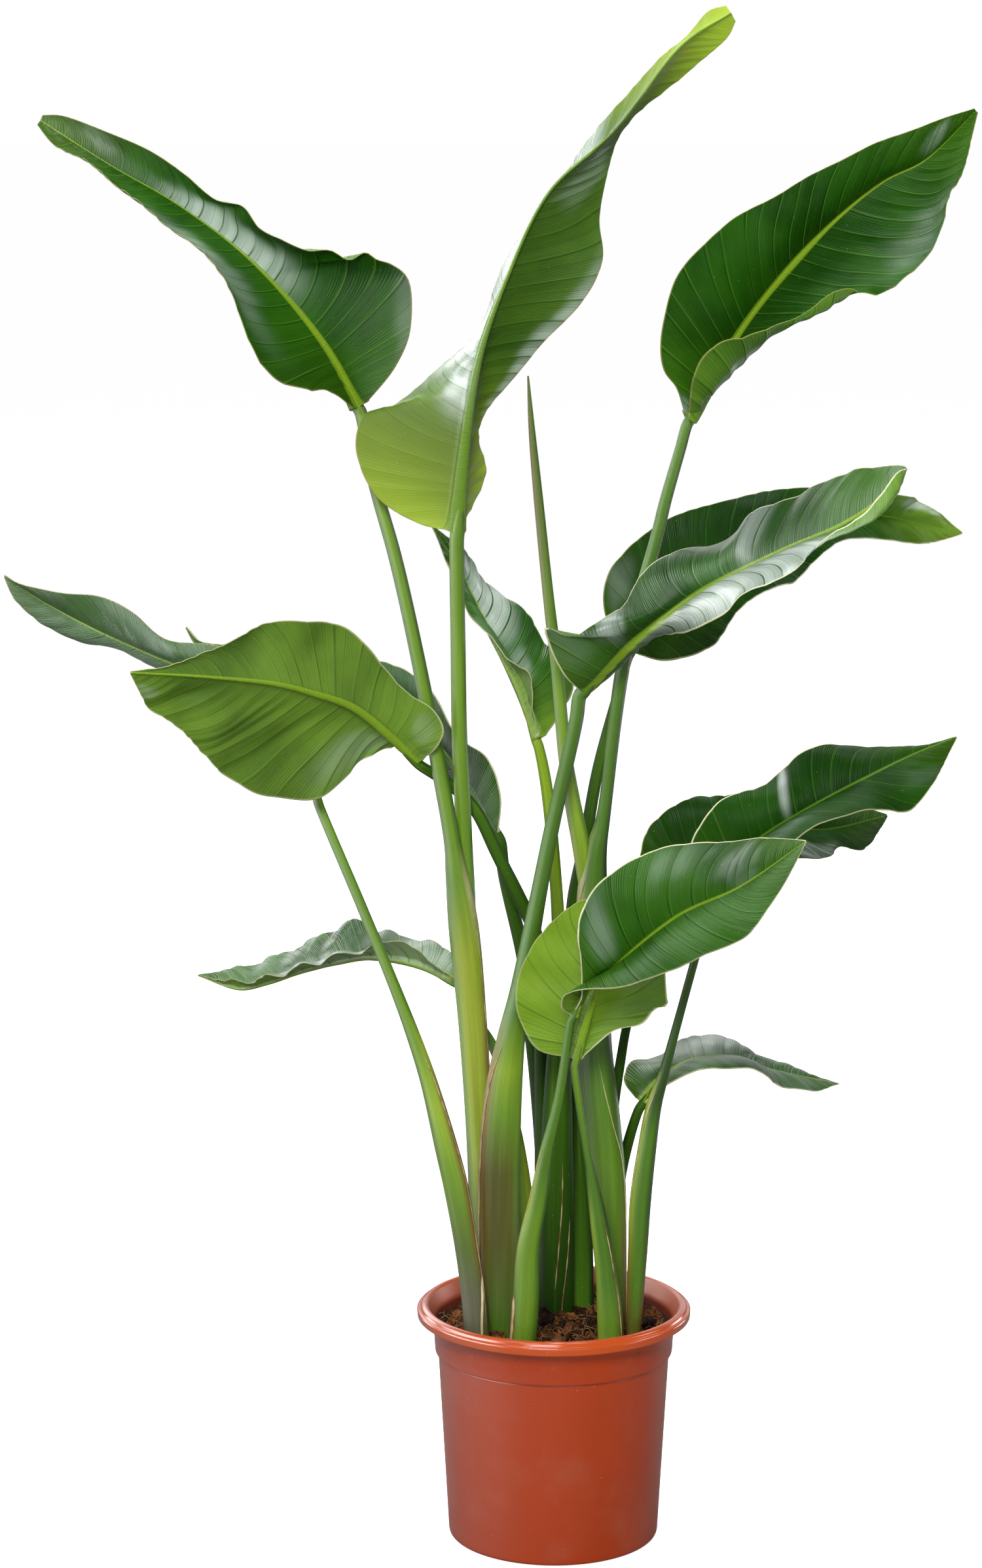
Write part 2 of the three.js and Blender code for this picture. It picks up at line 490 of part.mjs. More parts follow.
function potGeometry() {
  const stepInside = STEP_HEIGHT + POT_WALL;
  return lathe([
    [0, 0], [BASE_RADIUS - BASE_CORNER, 0], [BASE_RADIUS - 1.8, 1.8], [BASE_RADIUS, BASE_CORNER],
    [STEP_RADIUS, STEP_HEIGHT], [COLLAR_RADIUS, STEP_HEIGHT + 1], [NECK_RADIUS, NECK_HEIGHT],
    [LIP_RADIUS - 0.6, NECK_HEIGHT], [LIP_RADIUS, NECK_HEIGHT + 6],
    [LIP_RADIUS - 1.2, NECK_HEIGHT + 8], [LIP_RADIUS - 3.4, NECK_HEIGHT + 8.6],
    [LIP_RADIUS - 4.4, POT_HEIGHT - 0.6], [LIP_RADIUS - 5.6, POT_HEIGHT],
    [MOUTH_RADIUS + 1, POT_HEIGHT], [MOUTH_RADIUS, POT_HEIGHT - 1.2],
    [innerRadius(NECK_HEIGHT), NECK_HEIGHT - 3], [innerRadius(stepInside + 1), stepInside + 1],
    [innerRadius(STEP_HEIGHT - 0.1), stepInside], [innerRadius(FLOOR_THICKNESS), FLOOR_THICKNESS],
    [0, FLOOR_THICKNESS],
  ], POT_SIDES);
}

// Height of the lumpy soil at a radius and an angle.
function soilHeight(radius, angle) {
  const coarse = Math.sin(radius * 0.11 + 3 * angle) * Math.cos(2 * angle - radius * 0.05);
  const fine = Math.sin(radius * 0.27 - 7 * angle);
  return SOIL_LEVEL + SOIL_RELIEF * (0.7 * coarse + 0.3 * fine);
}

function soilGeometry() {
  const topRadius = innerRadius(SOIL_LEVEL) - SOIL_GAP;
  const ledge = STEP_HEIGHT + POT_WALL + 1 + CLEARANCE;
  const levels = [[FLOOR_THICKNESS, FLOOR_THICKNESS + CLEARANCE], [STEP_HEIGHT - 0.1, ledge],
    [ledge + 1, ledge + 0.4], [SOIL_EDGE, SOIL_EDGE]];
  const ringAt = (radius, heightAt) => Array.from({ length: SOIL_SIDES }, (_, side) => {
    const angle = (2 * Math.PI * side) / SOIL_SIDES;
    return new THREE.Vector3(radius * Math.cos(angle), radius * Math.sin(angle), heightAt(angle));
  });
  const wall = levels.map(([fit, z]) => ringAt(innerRadius(fit) - SOIL_GAP, () => z));
  const top = Array.from({ length: SOIL_RINGS }, (_, ring) => {
    const radius = topRadius * (1 - ring / SOIL_RINGS) - CLEARANCE;
    return ringAt(radius, (angle) => soilHeight(radius, angle));
  });
  return tubeThroughRings([...wall, ...top]);
}

const potPlastic = new THREE.MeshStandardMaterial({ color: 0xb04a2c, roughness: 0.42, metalness: 0 });
const barkSoil = new THREE.MeshStandardMaterial({ color: 0x4a2c1a, roughness: 0.95, metalness: 0 });
const leafGreen = new THREE.MeshStandardMaterial({ color: 0x1f5a20, roughness: 0.35, metalness: 0 });
const stalkGreen = new THREE.MeshStandardMaterial({ color: 0x5b8a3c, roughness: 0.5, metalness: 0 });

const plant = new THREE.Group();

function addPiece(name, geometry, material) {
  geometry.computeVertexNormals();
  const piece = new THREE.Mesh(geometry, material);
  piece.name = name;
  plant.add(piece);
}

// A sheath is cut clear of the younger growth that stands in it.
const SHEATHED = { leaf_01: 'leaf_02', leaf_03: 'new_leaf' };
const stalks = Object.fromEntries(Object.entries(LEAVES).map(([name, leaf]) => (
  [name, stalkToBlade(leaf)])));
stalks.new_leaf = NEW_LEAF;

for (const [name, leaf] of Object.entries(LEAVES)) {
  const younger = SHEATHED[name];
  const whole = stalkGeometry(stalks[name]);
  const stalk = younger ? cutClear(whole, [stalkGeometry(stalks[younger], CLEARANCE)]) : whole;
  addPiece(`${name}_stalk`, stalk, stalkGreen);
  addPiece(`${name}_blade`, bladeGeometry(leaf), leafGreen);
}
addPiece('new_leaf', stalkGeometry(NEW_LEAF), stalkGreen);

const standing = Object.values(stalks).filter((points) => points[0][2] < SOIL_LEVEL);
const holes = standing.map((points) => stalkGeometry(points, CLEARANCE));
addPiece('soil', cutClear(soilGeometry(), holes), barkSoil);
addPiece('pot', potGeometry(), potPlastic);

export default plant;
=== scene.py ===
"""Potted bird of paradise: the looks of the plant, its soil and its nursery pot.

Metres, +Z up, the pot's underside at the origin. Points are given in millimetres.
"""
import logging
import math
from collections.abc import Sequence
from dataclasses import dataclass, field, replace
from enum import Enum

import bpy
import numpy as np
from bpy.types import ID, Material, Node, NodeSocket as Socket, NodeTree, Object
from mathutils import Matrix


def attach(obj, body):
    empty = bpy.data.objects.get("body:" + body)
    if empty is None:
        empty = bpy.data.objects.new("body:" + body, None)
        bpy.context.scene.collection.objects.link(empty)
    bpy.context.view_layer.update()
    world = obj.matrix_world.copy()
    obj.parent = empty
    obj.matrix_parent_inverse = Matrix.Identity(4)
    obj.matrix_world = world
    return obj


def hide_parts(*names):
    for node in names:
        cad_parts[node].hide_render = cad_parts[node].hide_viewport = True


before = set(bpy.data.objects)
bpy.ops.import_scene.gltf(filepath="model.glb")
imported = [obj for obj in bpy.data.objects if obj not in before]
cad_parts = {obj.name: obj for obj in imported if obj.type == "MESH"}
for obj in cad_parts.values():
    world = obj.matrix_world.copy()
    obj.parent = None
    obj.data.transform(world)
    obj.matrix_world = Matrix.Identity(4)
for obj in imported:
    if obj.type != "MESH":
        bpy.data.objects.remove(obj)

LOG = logging.getLogger("potted_bird_of_paradise")
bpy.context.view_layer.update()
MM = 0.001
Array = np.ndarray
Points = Sequence[tuple[float, ...]]
Colour = tuple[int, int, int]
Pair = tuple[float, float]
Triple = tuple[float, float, float]


class Tone(Enum):
    """Colours of the living and dry tissue of stalks, as sRGB."""

    DEEP = (40, 76, 12)
    GREEN = (84, 128, 28)
    FRESH = (118, 156, 40)
    LIME = (152, 182, 44)
    YELLOW = (170, 182, 54)
    GREY = (100, 120, 52)
    ASH = (108, 108, 84)
    DUSK = (102, 98, 38)
    BROWN = (112, 88, 28)
    CREAM = (208, 200, 150)
    ROSE = (152, 120, 52)


DEEP, GREEN, FRESH, LIME, YELLOW, GREY, ASH, DUSK, BROWN, CREAM, ROSE = Tone


class Dryness(Enum):
    """How the free margin of a sheath has aged, as sRGB from its tip to its foot."""

    PALE = ((226, 216, 176), (196, 176, 130))
    BROWN = ((206, 180, 132), (126, 78, 44))
    ROSY = ((214, 190, 150), (150, 112, 88))


def linear(srgb: Sequence[float]) -> tuple[float, float, float, float]:
    """Linear colour, with alpha, of an sRGB colour in parts of 255."""
    share = [c / 255 for c in srgb]
    return (*[c / 12.92 if c <= 0.04045 else ((c + 0.055) / 1.055) ** 2.4 for c in share], 1.0)


def grey(share: float) -> tuple[float, float, float, float]:
    """Linear grey, with alpha, from 0 for black to 1 for white."""
    return (share, share, share, 1.0)


@dataclass(frozen=True)
class LeafPlan:
    """One leaf by given points in millimetres.

    A stalk point is x, y, z, half width and half depth. The rib runs from base to tip, and the
    points of the two edges lie between those ends. A fold is a line inside the lower edge where
    the blade turns back on itself.
    """

    stalk: Points
    rib: Points
    upper: Points
    lower: Points
    face: int
    arch: float
    wave: float
    waves: float
    tip: float = 1.2
    fold: Points = ()


LEAVES = {
    "leaf_01": LeafPlan(
        stalk=[(-54, -6, 166, 14, 11), (-60, -4, 263, 13, 11), (-65, -2, 368, 12, 10.5),
            (-71, 0, 462, 12.5, 10.5), (-79, 0, 549, 13, 10.5), (-85, -2, 595, 9.3, 8.4),
            (-88, -2, 618, 7.3, 7.3), (-100, 0, 688, 6.8, 6.8), (-122, 4, 801, 6, 6),
            (-137, 12, 866, 5.8, 5.8), (-155, 22, 930, 5.5, 5.5)],
        rib=[(-167, 27, 990), (-198, 20, 1047), (-254, 18, 1112), (-316, 30, 1159), (-377, 54, 1193),
            (-440, 88, 1231)],
        upper=[(-135, 0, 1027), (-122, -16, 1060), (-124, -22, 1101), (-138, -25, 1113),
            (-150, -25, 1117), (-159, -26, 1123), (-172, -26, 1117), (-188, -27, 1125),
            (-208, -26, 1124), (-229, -21, 1133), (-247, -15, 1143), (-261, -8, 1160), (-285, 4, 1165),
            (-312, 20, 1187), (-343, 36, 1206), (-382, 58, 1222), (-421, 78, 1235)],
        lower=[(-192, 0, 1006), (-206, -12, 1007), (-233, -26, 1016), (-246, -31, 1030),
            (-260, -34, 1057), (-272, -35, 1094), (-298, -29, 1125), (-333, -12, 1150),
            (-368, 15, 1176), (-398, 44, 1197), (-428, 76, 1210)],
        face=-1, arch=-6, wave=1, waves=6, tip=5,
    ),
    "leaf_02": LeafPlan(
        stalk=[(-69, 2, 496, 4, 4), (-73, 4, 542, 5.7, 5.7), (-76, 8, 582, 7, 7),
            (-78, 9, 613, 7.3, 7.3), (-80, 6, 668, 7, 7), (-82, 2, 712, 6.7, 6.7),
            (-83, -6, 791, 6.4, 6.4), (-85, -15, 872, 6.2, 6.2)],
        rib=[(-85, -15, 889), (-78, -23, 958), (-65, -33, 1037), (-43, -39, 1100), (-7, -45, 1173),
            (46, -45, 1222), (102, -49, 1292), (141, -48, 1317)],
        upper=[(-116, -8, 895), (-152, -6, 918), (-169, -4, 960), (-162, -3, 987), (-141, 3, 993),
            (-126, 8, 1002), (-103, 17, 1020), (-85, 24, 1036), (-73, 25, 1048), (-61, 26, 1072),
            (-49, 24, 1100), (-12, 13, 1162), (32, 1, 1221), (82, -20, 1280), (105, -30, 1298),
            (112, -35, 1306), (123, -41, 1319)],
        lower=[(-67, 8, 915), (-59, 9, 939), (-64, 3, 966), (-59, -3, 988), (-18, -13, 1039),
            (20, -22, 1081), (38, -26, 1117), (36, -20, 1152), (47, -18, 1209), (63, -18, 1231),
            (108, -27, 1271), (139, -38, 1298)],
        face=-1, arch=5, wave=2, waves=5, tip=9,
    ),
    "leaf_03": LeafPlan(
        stalk=[(53, -15, 166, 11, 9.8), (49, -15, 262, 14.3, 12), (46, -13, 325, 15.9, 12.7),
            (40, -12, 383, 16.5, 13), (34, -11, 441, 15.8, 12.7), (32, -10, 528, 14, 11.3),
            (32, -9, 579, 12.9, 10.3), (35, -8, 613, 9.5, 8.1), (41, -6, 642, 6.2, 6.2),
            (59, -4, 782, 6.1, 6.1), (85, 0, 881, 5.5, 5.5), (93, 0, 915, 5.2, 5.2),
            (105, 1, 958, 4.8, 4.8)],
        rib=[(112, 0, 983), (151, 16, 1050), (212, 42, 1125), (276, 58, 1179), (314, 64, 1198),
            (357, 72, 1239)],
        upper=[(100, -9, 1010), (90, -12, 1024), (87, -14, 1055), (99, -11, 1099), (127, -6, 1134),
            (184, 8, 1170), (216, 17, 1186), (249, 26, 1204), (284, 38, 1217), (319, 50, 1230)],
        lower=[(113, -44, 1021), (131, -64, 1049), (156, -67, 1056), (187, -59, 1065), (222, -39, 1087),
            (237, -32, 1091), (267, -15, 1088), (306, 5, 1111), (325, 19, 1143), (331, 30, 1165),
            (343, 43, 1185)],
        fold=[(132, -26, 1008), (163, -35, 1040), (192, -32, 1062), (226, -22, 1078), (253, 0, 1095),
            (282, 21, 1121), (308, 36, 1151), (331, 52, 1187)],
        face=1, arch=6, wave=2, waves=6, tip=3,
    ),
    "leaf_04": LeafPlan(
        stalk=[(-48, -34, 166, 14, 10), (-48, -36, 238, 17, 11.5), (-48, -38, 303, 18, 11.5),
            (-47, -39, 366, 17.5, 11.3), (-43, -40, 420, 15.2, 10.6), (-37, -41, 461, 11.8, 10),
            (-30, -41, 495, 9.8, 9.3), (-16, -40, 574, 7.2, 7.2), (-3, -38, 641, 6.4, 6.4),
            (17, -38, 732, 6, 6)],
        rib=[(25, -40, 754), (50, -47, 784), (78, -56, 814), (118, -72, 845), (187, -108, 885),
            (229, -132, 907), (257, -146, 928), (279, -158, 955)],
        upper=[(5, -62, 775), (-7, -74, 801), (-10, -80, 816), (10, -75, 808), (31, -66, 818),
            (54, -52, 829), (71, -44, 856), (98, -42, 874), (142, -52, 886), (188, -76, 923),
            (217, -96, 938), (246, -118, 950), (263, -134, 955), (275, -150, 957)],
        lower=[(50, -27, 772), (78, -36, 801), (108, -71, 811), (136, -103, 829), (151, -118, 849),
            (174, -132, 858), (193, -142, 872), (201, -150, 885), (216, -160, 900), (235, -170, 913),
            (257, -180, 938), (270, -172, 953)],
        fold=[(52, -37, 777), (81, -51, 805), (111, -79, 827), (140, -101, 851), (170, -118, 868),
            (196, -134, 884), (217, -158, 897), (236, -174, 906), (254, -184, 918), (269, -182, 936)],
        face=1, arch=5, wave=1.5, waves=5, tip=3,
    ),
    "leaf_05": LeafPlan(
        stalk=[(25, 48, 166, 12, 9.5), (24, 50, 249, 11.5, 9.5), (20, 51, 370, 10, 9),
            (17, 46, 489, 7.5, 7.2), (17, 42, 557, 6.2, 6.2), (26, 41, 607, 5.7, 5.7),
            (38, 42, 677, 5.1, 5.1), (58, 48, 753, 4.2, 4.2)],
        rib=[(67, 50, 778), (92, 67, 819), (146, 104, 855), (206, 141, 877), (278, 179, 884),
            (370, 210, 864)],
        upper=[(44, 46, 807), (44, 52, 840), (64, 65, 867), (95, 82, 888), (140, 107, 901),
            (217, 147, 911), (284, 182, 904), (315, 196, 899), (330, 203, 897), (347, 210, 885),
            (362, 214, 871)],
        lower=[(94, 50, 770), (136, 65, 780), (165, 83, 814), (203, 104, 830), (210, 107, 831),
            (228, 123, 846), (258, 145, 865), (283, 163, 864), (317, 182, 858), (342, 195, 857),
            (358, 203, 860)],
        face=1, arch=5, wave=2, waves=5,
    ),
    "leaf_06": LeafPlan(
        stalk=[(-8, 54, 166, 9, 8), (-8, 52, 305, 8.5, 8), (-9, 45, 427, 8, 7.8), (-12, 36, 488, 7, 7),
            (-17, 27, 535, 6.3, 6.3), (-31, 20, 568, 6, 6), (-50, 17, 607, 5.6, 5.6),
            (-67, 19, 642, 5.4, 5.4), (-81, 23, 658, 5.2, 5.2), (-97, 21, 671, 5, 5),
            (-110, 12, 682, 4.5, 4.5)],
        rib=[(-117, 0, 692), (-140, -15, 715), (-173, -41, 744), (-204, -66, 759), (-233, -89, 770),
            (-286, -125, 781), (-347, -162, 790)],
        upper=[(-104, -14, 701), (-95, -18, 718), (-102, -17, 736), (-126, -21, 753), (-145, -27, 775),
            (-175, -45, 811), (-203, -65, 819), (-239, -87, 821), (-273, -113, 807),
            (-318, -144, 793)],
        lower=[(-130, 2, 703), (-162, -5, 693), (-182, -16, 675), (-206, -30, 662), (-237, -54, 668),
            (-259, -74, 679), (-283, -99, 703), (-316, -127, 742), (-335, -143, 760)],
        face=1, arch=6, wave=2, waves=5,
    ),
    "leaf_07": LeafPlan(
        stalk=[(-65, -54, 166, 10.8, 8.6), (-70, -54, 231, 10.7, 8.6), (-76, -53, 274, 10.1, 8.6),
            (-85, -52, 328, 10.7, 9), (-93, -51, 362, 10.1, 9), (-109, -45, 422, 7.3, 7.3),
            (-123, -40, 463, 5.9, 5.9), (-137, -34, 499, 5, 5), (-165, -18, 565, 4.5, 4.5),
            (-201, 4, 638, 4.2, 4.2)],
        rib=[(-207, 8, 654), (-224, 27, 705), (-259, 47, 742), (-330, 74, 764), (-397, 93, 790),
            (-451, 105, 817), (-482, 110, 837)],
        upper=[(-224, 11, 718), (-253, 30, 766), (-290, 51, 784), (-337, 63, 786), (-364, 64, 811),
            (-396, 71, 823), (-428, 82, 826), (-468, 101, 831)],
        lower=[(-214, 50, 689), (-255, 79, 719), (-338, 102, 754), (-377, 107, 770), (-416, 111, 779),
            (-452, 110, 796), (-474, 110, 817)],
        face=-1, arch=4, wave=2, waves=5,
    ),
    "leaf_08": LeafPlan(
        stalk=[(-4, 76, 166, 8, 7), (-7, 74, 305, 8, 7), (-14, 68, 396, 7.4, 7),
            (-21, 60, 456, 6.8, 6.8), (-26, 52, 504, 6.3, 6.3), (-44, 46, 586, 5.6, 5.6),
            (-50, 45, 602, 5, 5)],
        rib=[(-52, 45, 615), (-75, 61, 658), (-119, 95, 711), (-188, 140, 744), (-262, 182, 757),
            (-315, 212, 761), (-332, 221, 777)],
        upper=[(-46, 38, 654), (-58, 45, 685), (-83, 58, 702), (-103, 79, 736), (-134, 103, 756),
            (-189, 141, 765), (-261, 182, 766), (-300, 203, 764), (-320, 214, 766)],
        lower=[(-65, 57, 640), (-84, 72, 652), (-108, 88, 684), (-150, 115, 706), (-237, 162, 732),
            (-292, 197, 751), (-322, 215, 760)],
        face=-1, arch=4, wave=2, waves=4,
    ),
    "leaf_09": LeafPlan(
        stalk=[(-23, 12, 166, 7.5, 6), (-24, 12, 266, 7.5, 6.4), (-26, 12, 305, 7, 6.4),
            (-31, 14, 345, 5.8, 6), (-37, 16, 376, 5.2, 5.2), (-44, 19, 411, 4.8, 4.8),
            (-55, 24, 437, 4.5, 4.5), (-71, 28, 461, 4, 4), (-80, 28, 479, 3.7, 3.7)],
        rib=[(-86, 28, 492), (-116, 38, 504), (-161, 53, 508), (-192, 66, 500), (-223, 79, 489),
            (-254, 93, 475), (-279, 105, 467), (-318, 128, 474)],
        upper=[(-91, 61, 509), (-109, 72, 517), (-129, 82, 518), (-153, 93, 522), (-177, 103, 529),
            (-191, 108, 520), (-204, 112, 517), (-208, 113, 510), (-226, 118, 504), (-240, 122, 495),
            (-258, 125, 488), (-291, 130, 479)],
        lower=[(-112, 13, 514), (-131, 13, 530), (-156, 16, 524), (-184, 28, 514), (-213, 42, 503),
            (-243, 61, 489), (-270, 84, 478), (-297, 107, 474)],
        face=-1, arch=3, wave=3, waves=7,
    ),
    "leaf_10": LeafPlan(
        stalk=[(3, 29, 166, 14.5, 9.5), (3, 29, 264, 15, 10), (3, 29, 342, 14, 9.5),
            (4, 29, 407, 11.5, 9), (5, 28, 467, 8, 7.8), (3, 28, 553, 5.7, 5.7),
            (-7, 28, 663, 5.1, 5.1), (-11, 29, 692, 4.5, 4.5)],
        rib=[(-13, 29, 704), (-28, 38, 743), (-42, 46, 771), (-63, 56, 809), (-83, 67, 848),
            (-106, 78, 884)],
        upper=[(7, 46, 729), (17, 56, 747), (-6, 68, 781), (-24, 74, 808), (-53, 77, 830),
            (-68, 80, 845), (-78, 80, 862)],
        lower=[(-20, 14, 737), (-24, 15, 764), (-40, 18, 777), (-59, 28, 795), (-80, 44, 824),
            (-94, 60, 856)],
        face=-1, arch=3, wave=2, waves=4,
    ),
    "leaf_11": LeafPlan(
        stalk=[(68, -38, 166, 5.7, 5.7), (70, -38, 226, 7.4, 6.6), (72, -38, 269, 8.5, 7.2),
            (74, -37, 312, 9.3, 7.5), (79, -36, 355, 8.2, 7.4), (85, -35, 395, 6.8, 6.8),
            (93, -34, 422, 4.8, 4.8), (102, -33, 457, 3.9, 3.9), (127, -28, 550, 3.6, 3.6)],
        rib=[(130, -28, 563), (141, -21, 599), (176, -8, 625), (220, 7, 649), (269, 25, 672),
            (313, 43, 690), (350, 58, 702)],
        upper=[(113, -36, 593), (115, -31, 625), (133, -16, 652), (152, 2, 661), (179, 19, 665),
            (211, 36, 690), (232, 42, 697), (291, 51, 694), (322, 54, 695)],
        lower=[(156, -41, 589), (184, -42, 617), (209, -39, 632), (246, -27, 649), (284, -14, 649),
            (305, 0, 648), (323, 19, 662)],
        face=1, arch=5, wave=2, waves=5,
    ),
    "leaf_12": LeafPlan(
        stalk=[(47, 28, 166, 5.8, 5.8), (47, 26, 250, 6.4, 6.4), (48, 23, 311, 6.2, 6.2),
            (51, 21, 372, 5.2, 5.2), (58, 22, 420, 4.3, 4.3), (63, 23, 450, 4, 4),
            (76, 24, 503, 3.7, 3.7), (87, 24, 544, 3.4, 3.4)],
        rib=[(91, 24, 555), (104, 38, 593), (141, 68, 617), (189, 101, 615), (243, 134, 606),
            (303, 172, 612)],
        upper=[(72, 18, 583), (75, 23, 608), (83, 35, 627), (115, 66, 645), (158, 100, 643),
            (208, 136, 639), (263, 164, 627)],
        lower=[(121, 31, 557), (162, 48, 573), (193, 69, 586), (221, 91, 588), (246, 111, 586),
            (255, 124, 591), (280, 146, 586), (297, 165, 602)],
        face=1, arch=4, wave=2, waves=4,
    ),
    "leaf_13": LeafPlan(
        stalk=[(-30, -62, 166, 11.9, 9.5), (-25, -64, 234, 11.5, 9.2), (-23, -66, 278, 9.8, 8.3),
            (-15, -70, 322, 7.8, 7.4), (-8, -74, 366, 5.6, 5.6), (2, -78, 410, 4.4, 4.4),
            (14, -85, 474, 3.3, 3.3)],
        rib=[(16, -86, 487), (28, -96, 513), (50, -111, 537), (100, -144, 586), (149, -177, 617),
            (198, -210, 660)],
        upper=[(20, -103, 513), (20, -116, 544), (18, -122, 577), (35, -128, 610), (83, -142, 641),
            (139, -168, 652), (172, -190, 659)],
        lower=[(4, -102, 497), (6, -110, 510), (23, -122, 517), (49, -133, 522), (74, -145, 531),
            (119, -171, 557), (149, -188, 575), (163, -198, 592), (187, -210, 636)],
        face=1, arch=5, wave=1.5, waves=5,
    ),
    "leaf_14": LeafPlan(
        stalk=[(50, -54, 166, 11.9, 8.3), (47, -55, 220, 10.7, 8), (44, -56, 253, 9, 7.2),
            (38, -58, 297, 7.6, 6.4), (31, -60, 340, 4.8, 4.8), (26, -62, 368, 3.6, 3.6),
            (20, -66, 406, 3.3, 3.3), (17, -69, 434, 3.3, 3.3)],
        rib=[(17, -70, 445), (24, -74, 474), (31, -79, 500), (38, -81, 532), (45, -83, 560),
            (52, -84, 588)],
        upper=[(-15, -62, 452), (-31, -62, 477), (-34, -64, 505), (-28, -68, 528), (-15, -72, 552),
            (3, -75, 572), (22, -78, 585)],
        lower=[(48, -67, 468), (75, -63, 476), (86, -62, 486), (95, -62, 488), (94, -63, 497),
            (93, -66, 527), (83, -73, 562)],
        face=-1, arch=4, wave=2, waves=5,
    ),
    "leaf_15": LeafPlan(
        stalk=[(50, 60, 166, 6.4, 6.4), (52, 55, 233, 6.4, 6.4), (56, 46, 290, 5.8, 5.8),
            (63, 36, 333, 4.9, 4.9), (71, 26, 364, 4.3, 4.3)],
        rib=[(76, 20, 384), (88, 25, 400), (115, 40, 416), (153, 62, 416), (196, 88, 397),
            (259, 128, 374)],
        upper=[(62, 35, 401), (68, 48, 414), (95, 64, 415), (123, 82, 430), (152, 97, 423),
            (170, 104, 412), (190, 112, 402), (239, 127, 380)],
        lower=[(98, 12, 402), (136, 20, 414), (165, 32, 412), (188, 46, 400), (209, 65, 385),
            (235, 92, 376)],
        face=1, arch=4, wave=2, waves=4,
    ),}

# The rolled new leaf rises out of the sheath of leaf_03.
NEW_LEAF = [(31, -9, 516, 2.4, 2.4), (29, -9, 557, 3.8, 3.8), (25, -8, 591, 6.2, 6.2),
            (22, -8, 619, 7.6, 7.6), (15, -9, 655, 7, 7), (8, -10, 699, 5.9, 5.9),
            (1, -12, 772, 5.3, 5.3), (-6, -13, 830, 4.7, 4.7), (-16, -15, 926, 3.9, 3.9),
            (-21, -16, 978, 2.7, 2.7), (-24, -17, 1020, 0.8, 0.8)]


class Path:
    """Smooth line through given points, read by its share of length."""

    def __init__(self, points: Points, per_span: int = 40) -> None:
        """Lays the line.

        Args:
            points: rows that begin with x, y and z; further columns follow along.
            per_span: how many steps each span is cut into.
        """
        given = np.asarray(points, float)
        first, last = 2 * given[0] - given[1], 2 * given[-1] - given[-2]
        held = np.vstack([first, given, last])
        spans = [self._span(held[i:i + 4], per_span) for i in range(len(given) - 1)]
        self.line = np.vstack([*spans, given[-1:]])
        steps = np.linalg.norm(np.diff(self.line[:, :3], axis=0), axis=1)
        self.reach = np.concatenate([[0.0], np.cumsum(steps)])
        self.length = float(self.reach[-1])

    @staticmethod
    def _span(four: Array, steps: int) -> Array:
        """Points of one centripetal span between the middle two of four rows.

        Args:
            four: rows round the span.
            steps: how many points it gets.

        Returns:
            The rows of the span, without its end.
        """
        gaps = np.sqrt(np.maximum(np.linalg.norm(np.diff(four[:, :3], axis=0), axis=1), 1e-9))
        k = np.concatenate([[0.0], np.cumsum(gaps)])
        u = np.linspace(k[1], k[2], steps, endpoint=False)[:, None]

        def between(a: Array, b: Array, low: float, high: float) -> Array:
            """Straight blend of two rows from one knot to another."""
            return ((high - u) * a + (u - low) * b) / (high - low)

        one = between(four[0], four[1], k[0], k[1])
        two = between(four[1], four[2], k[1], k[2])
        three = between(four[2], four[3], k[2], k[3])
        return between(between(one, two, k[0], k[2]), between(two, three, k[1], k[3]), k[1], k[2])

    def at(self, share: Array | float) -> Array:
        """Rows of the line at shares of its length."""
        place = np.clip(share, 0, 1) * self.length
        return np.stack([np.interp(place, self.reach, column) for column in self.line.T], -1)

    def direction(self, share: Array | float) -> Array:
        """Unit direction of the line at shares of its length."""
        small = 2e-3
        step = self.at(np.asarray(share) + small) - self.at(np.asarray(share) - small)
        return unit(step[..., :3])


def unit(rows: Array) -> Array:
    """Rows scaled to a length of one."""
    return rows / np.maximum(np.linalg.norm(rows, axis=-1, keepdims=True), 1e-12)


def smooth(low: float, high: float, value: Array) -> Array:
    """Soft step from 0 at low to 1 at high."""
    share = np.clip((value - low) / (high - low), 0, 1)
    return share * share * (3 - 2 * share)


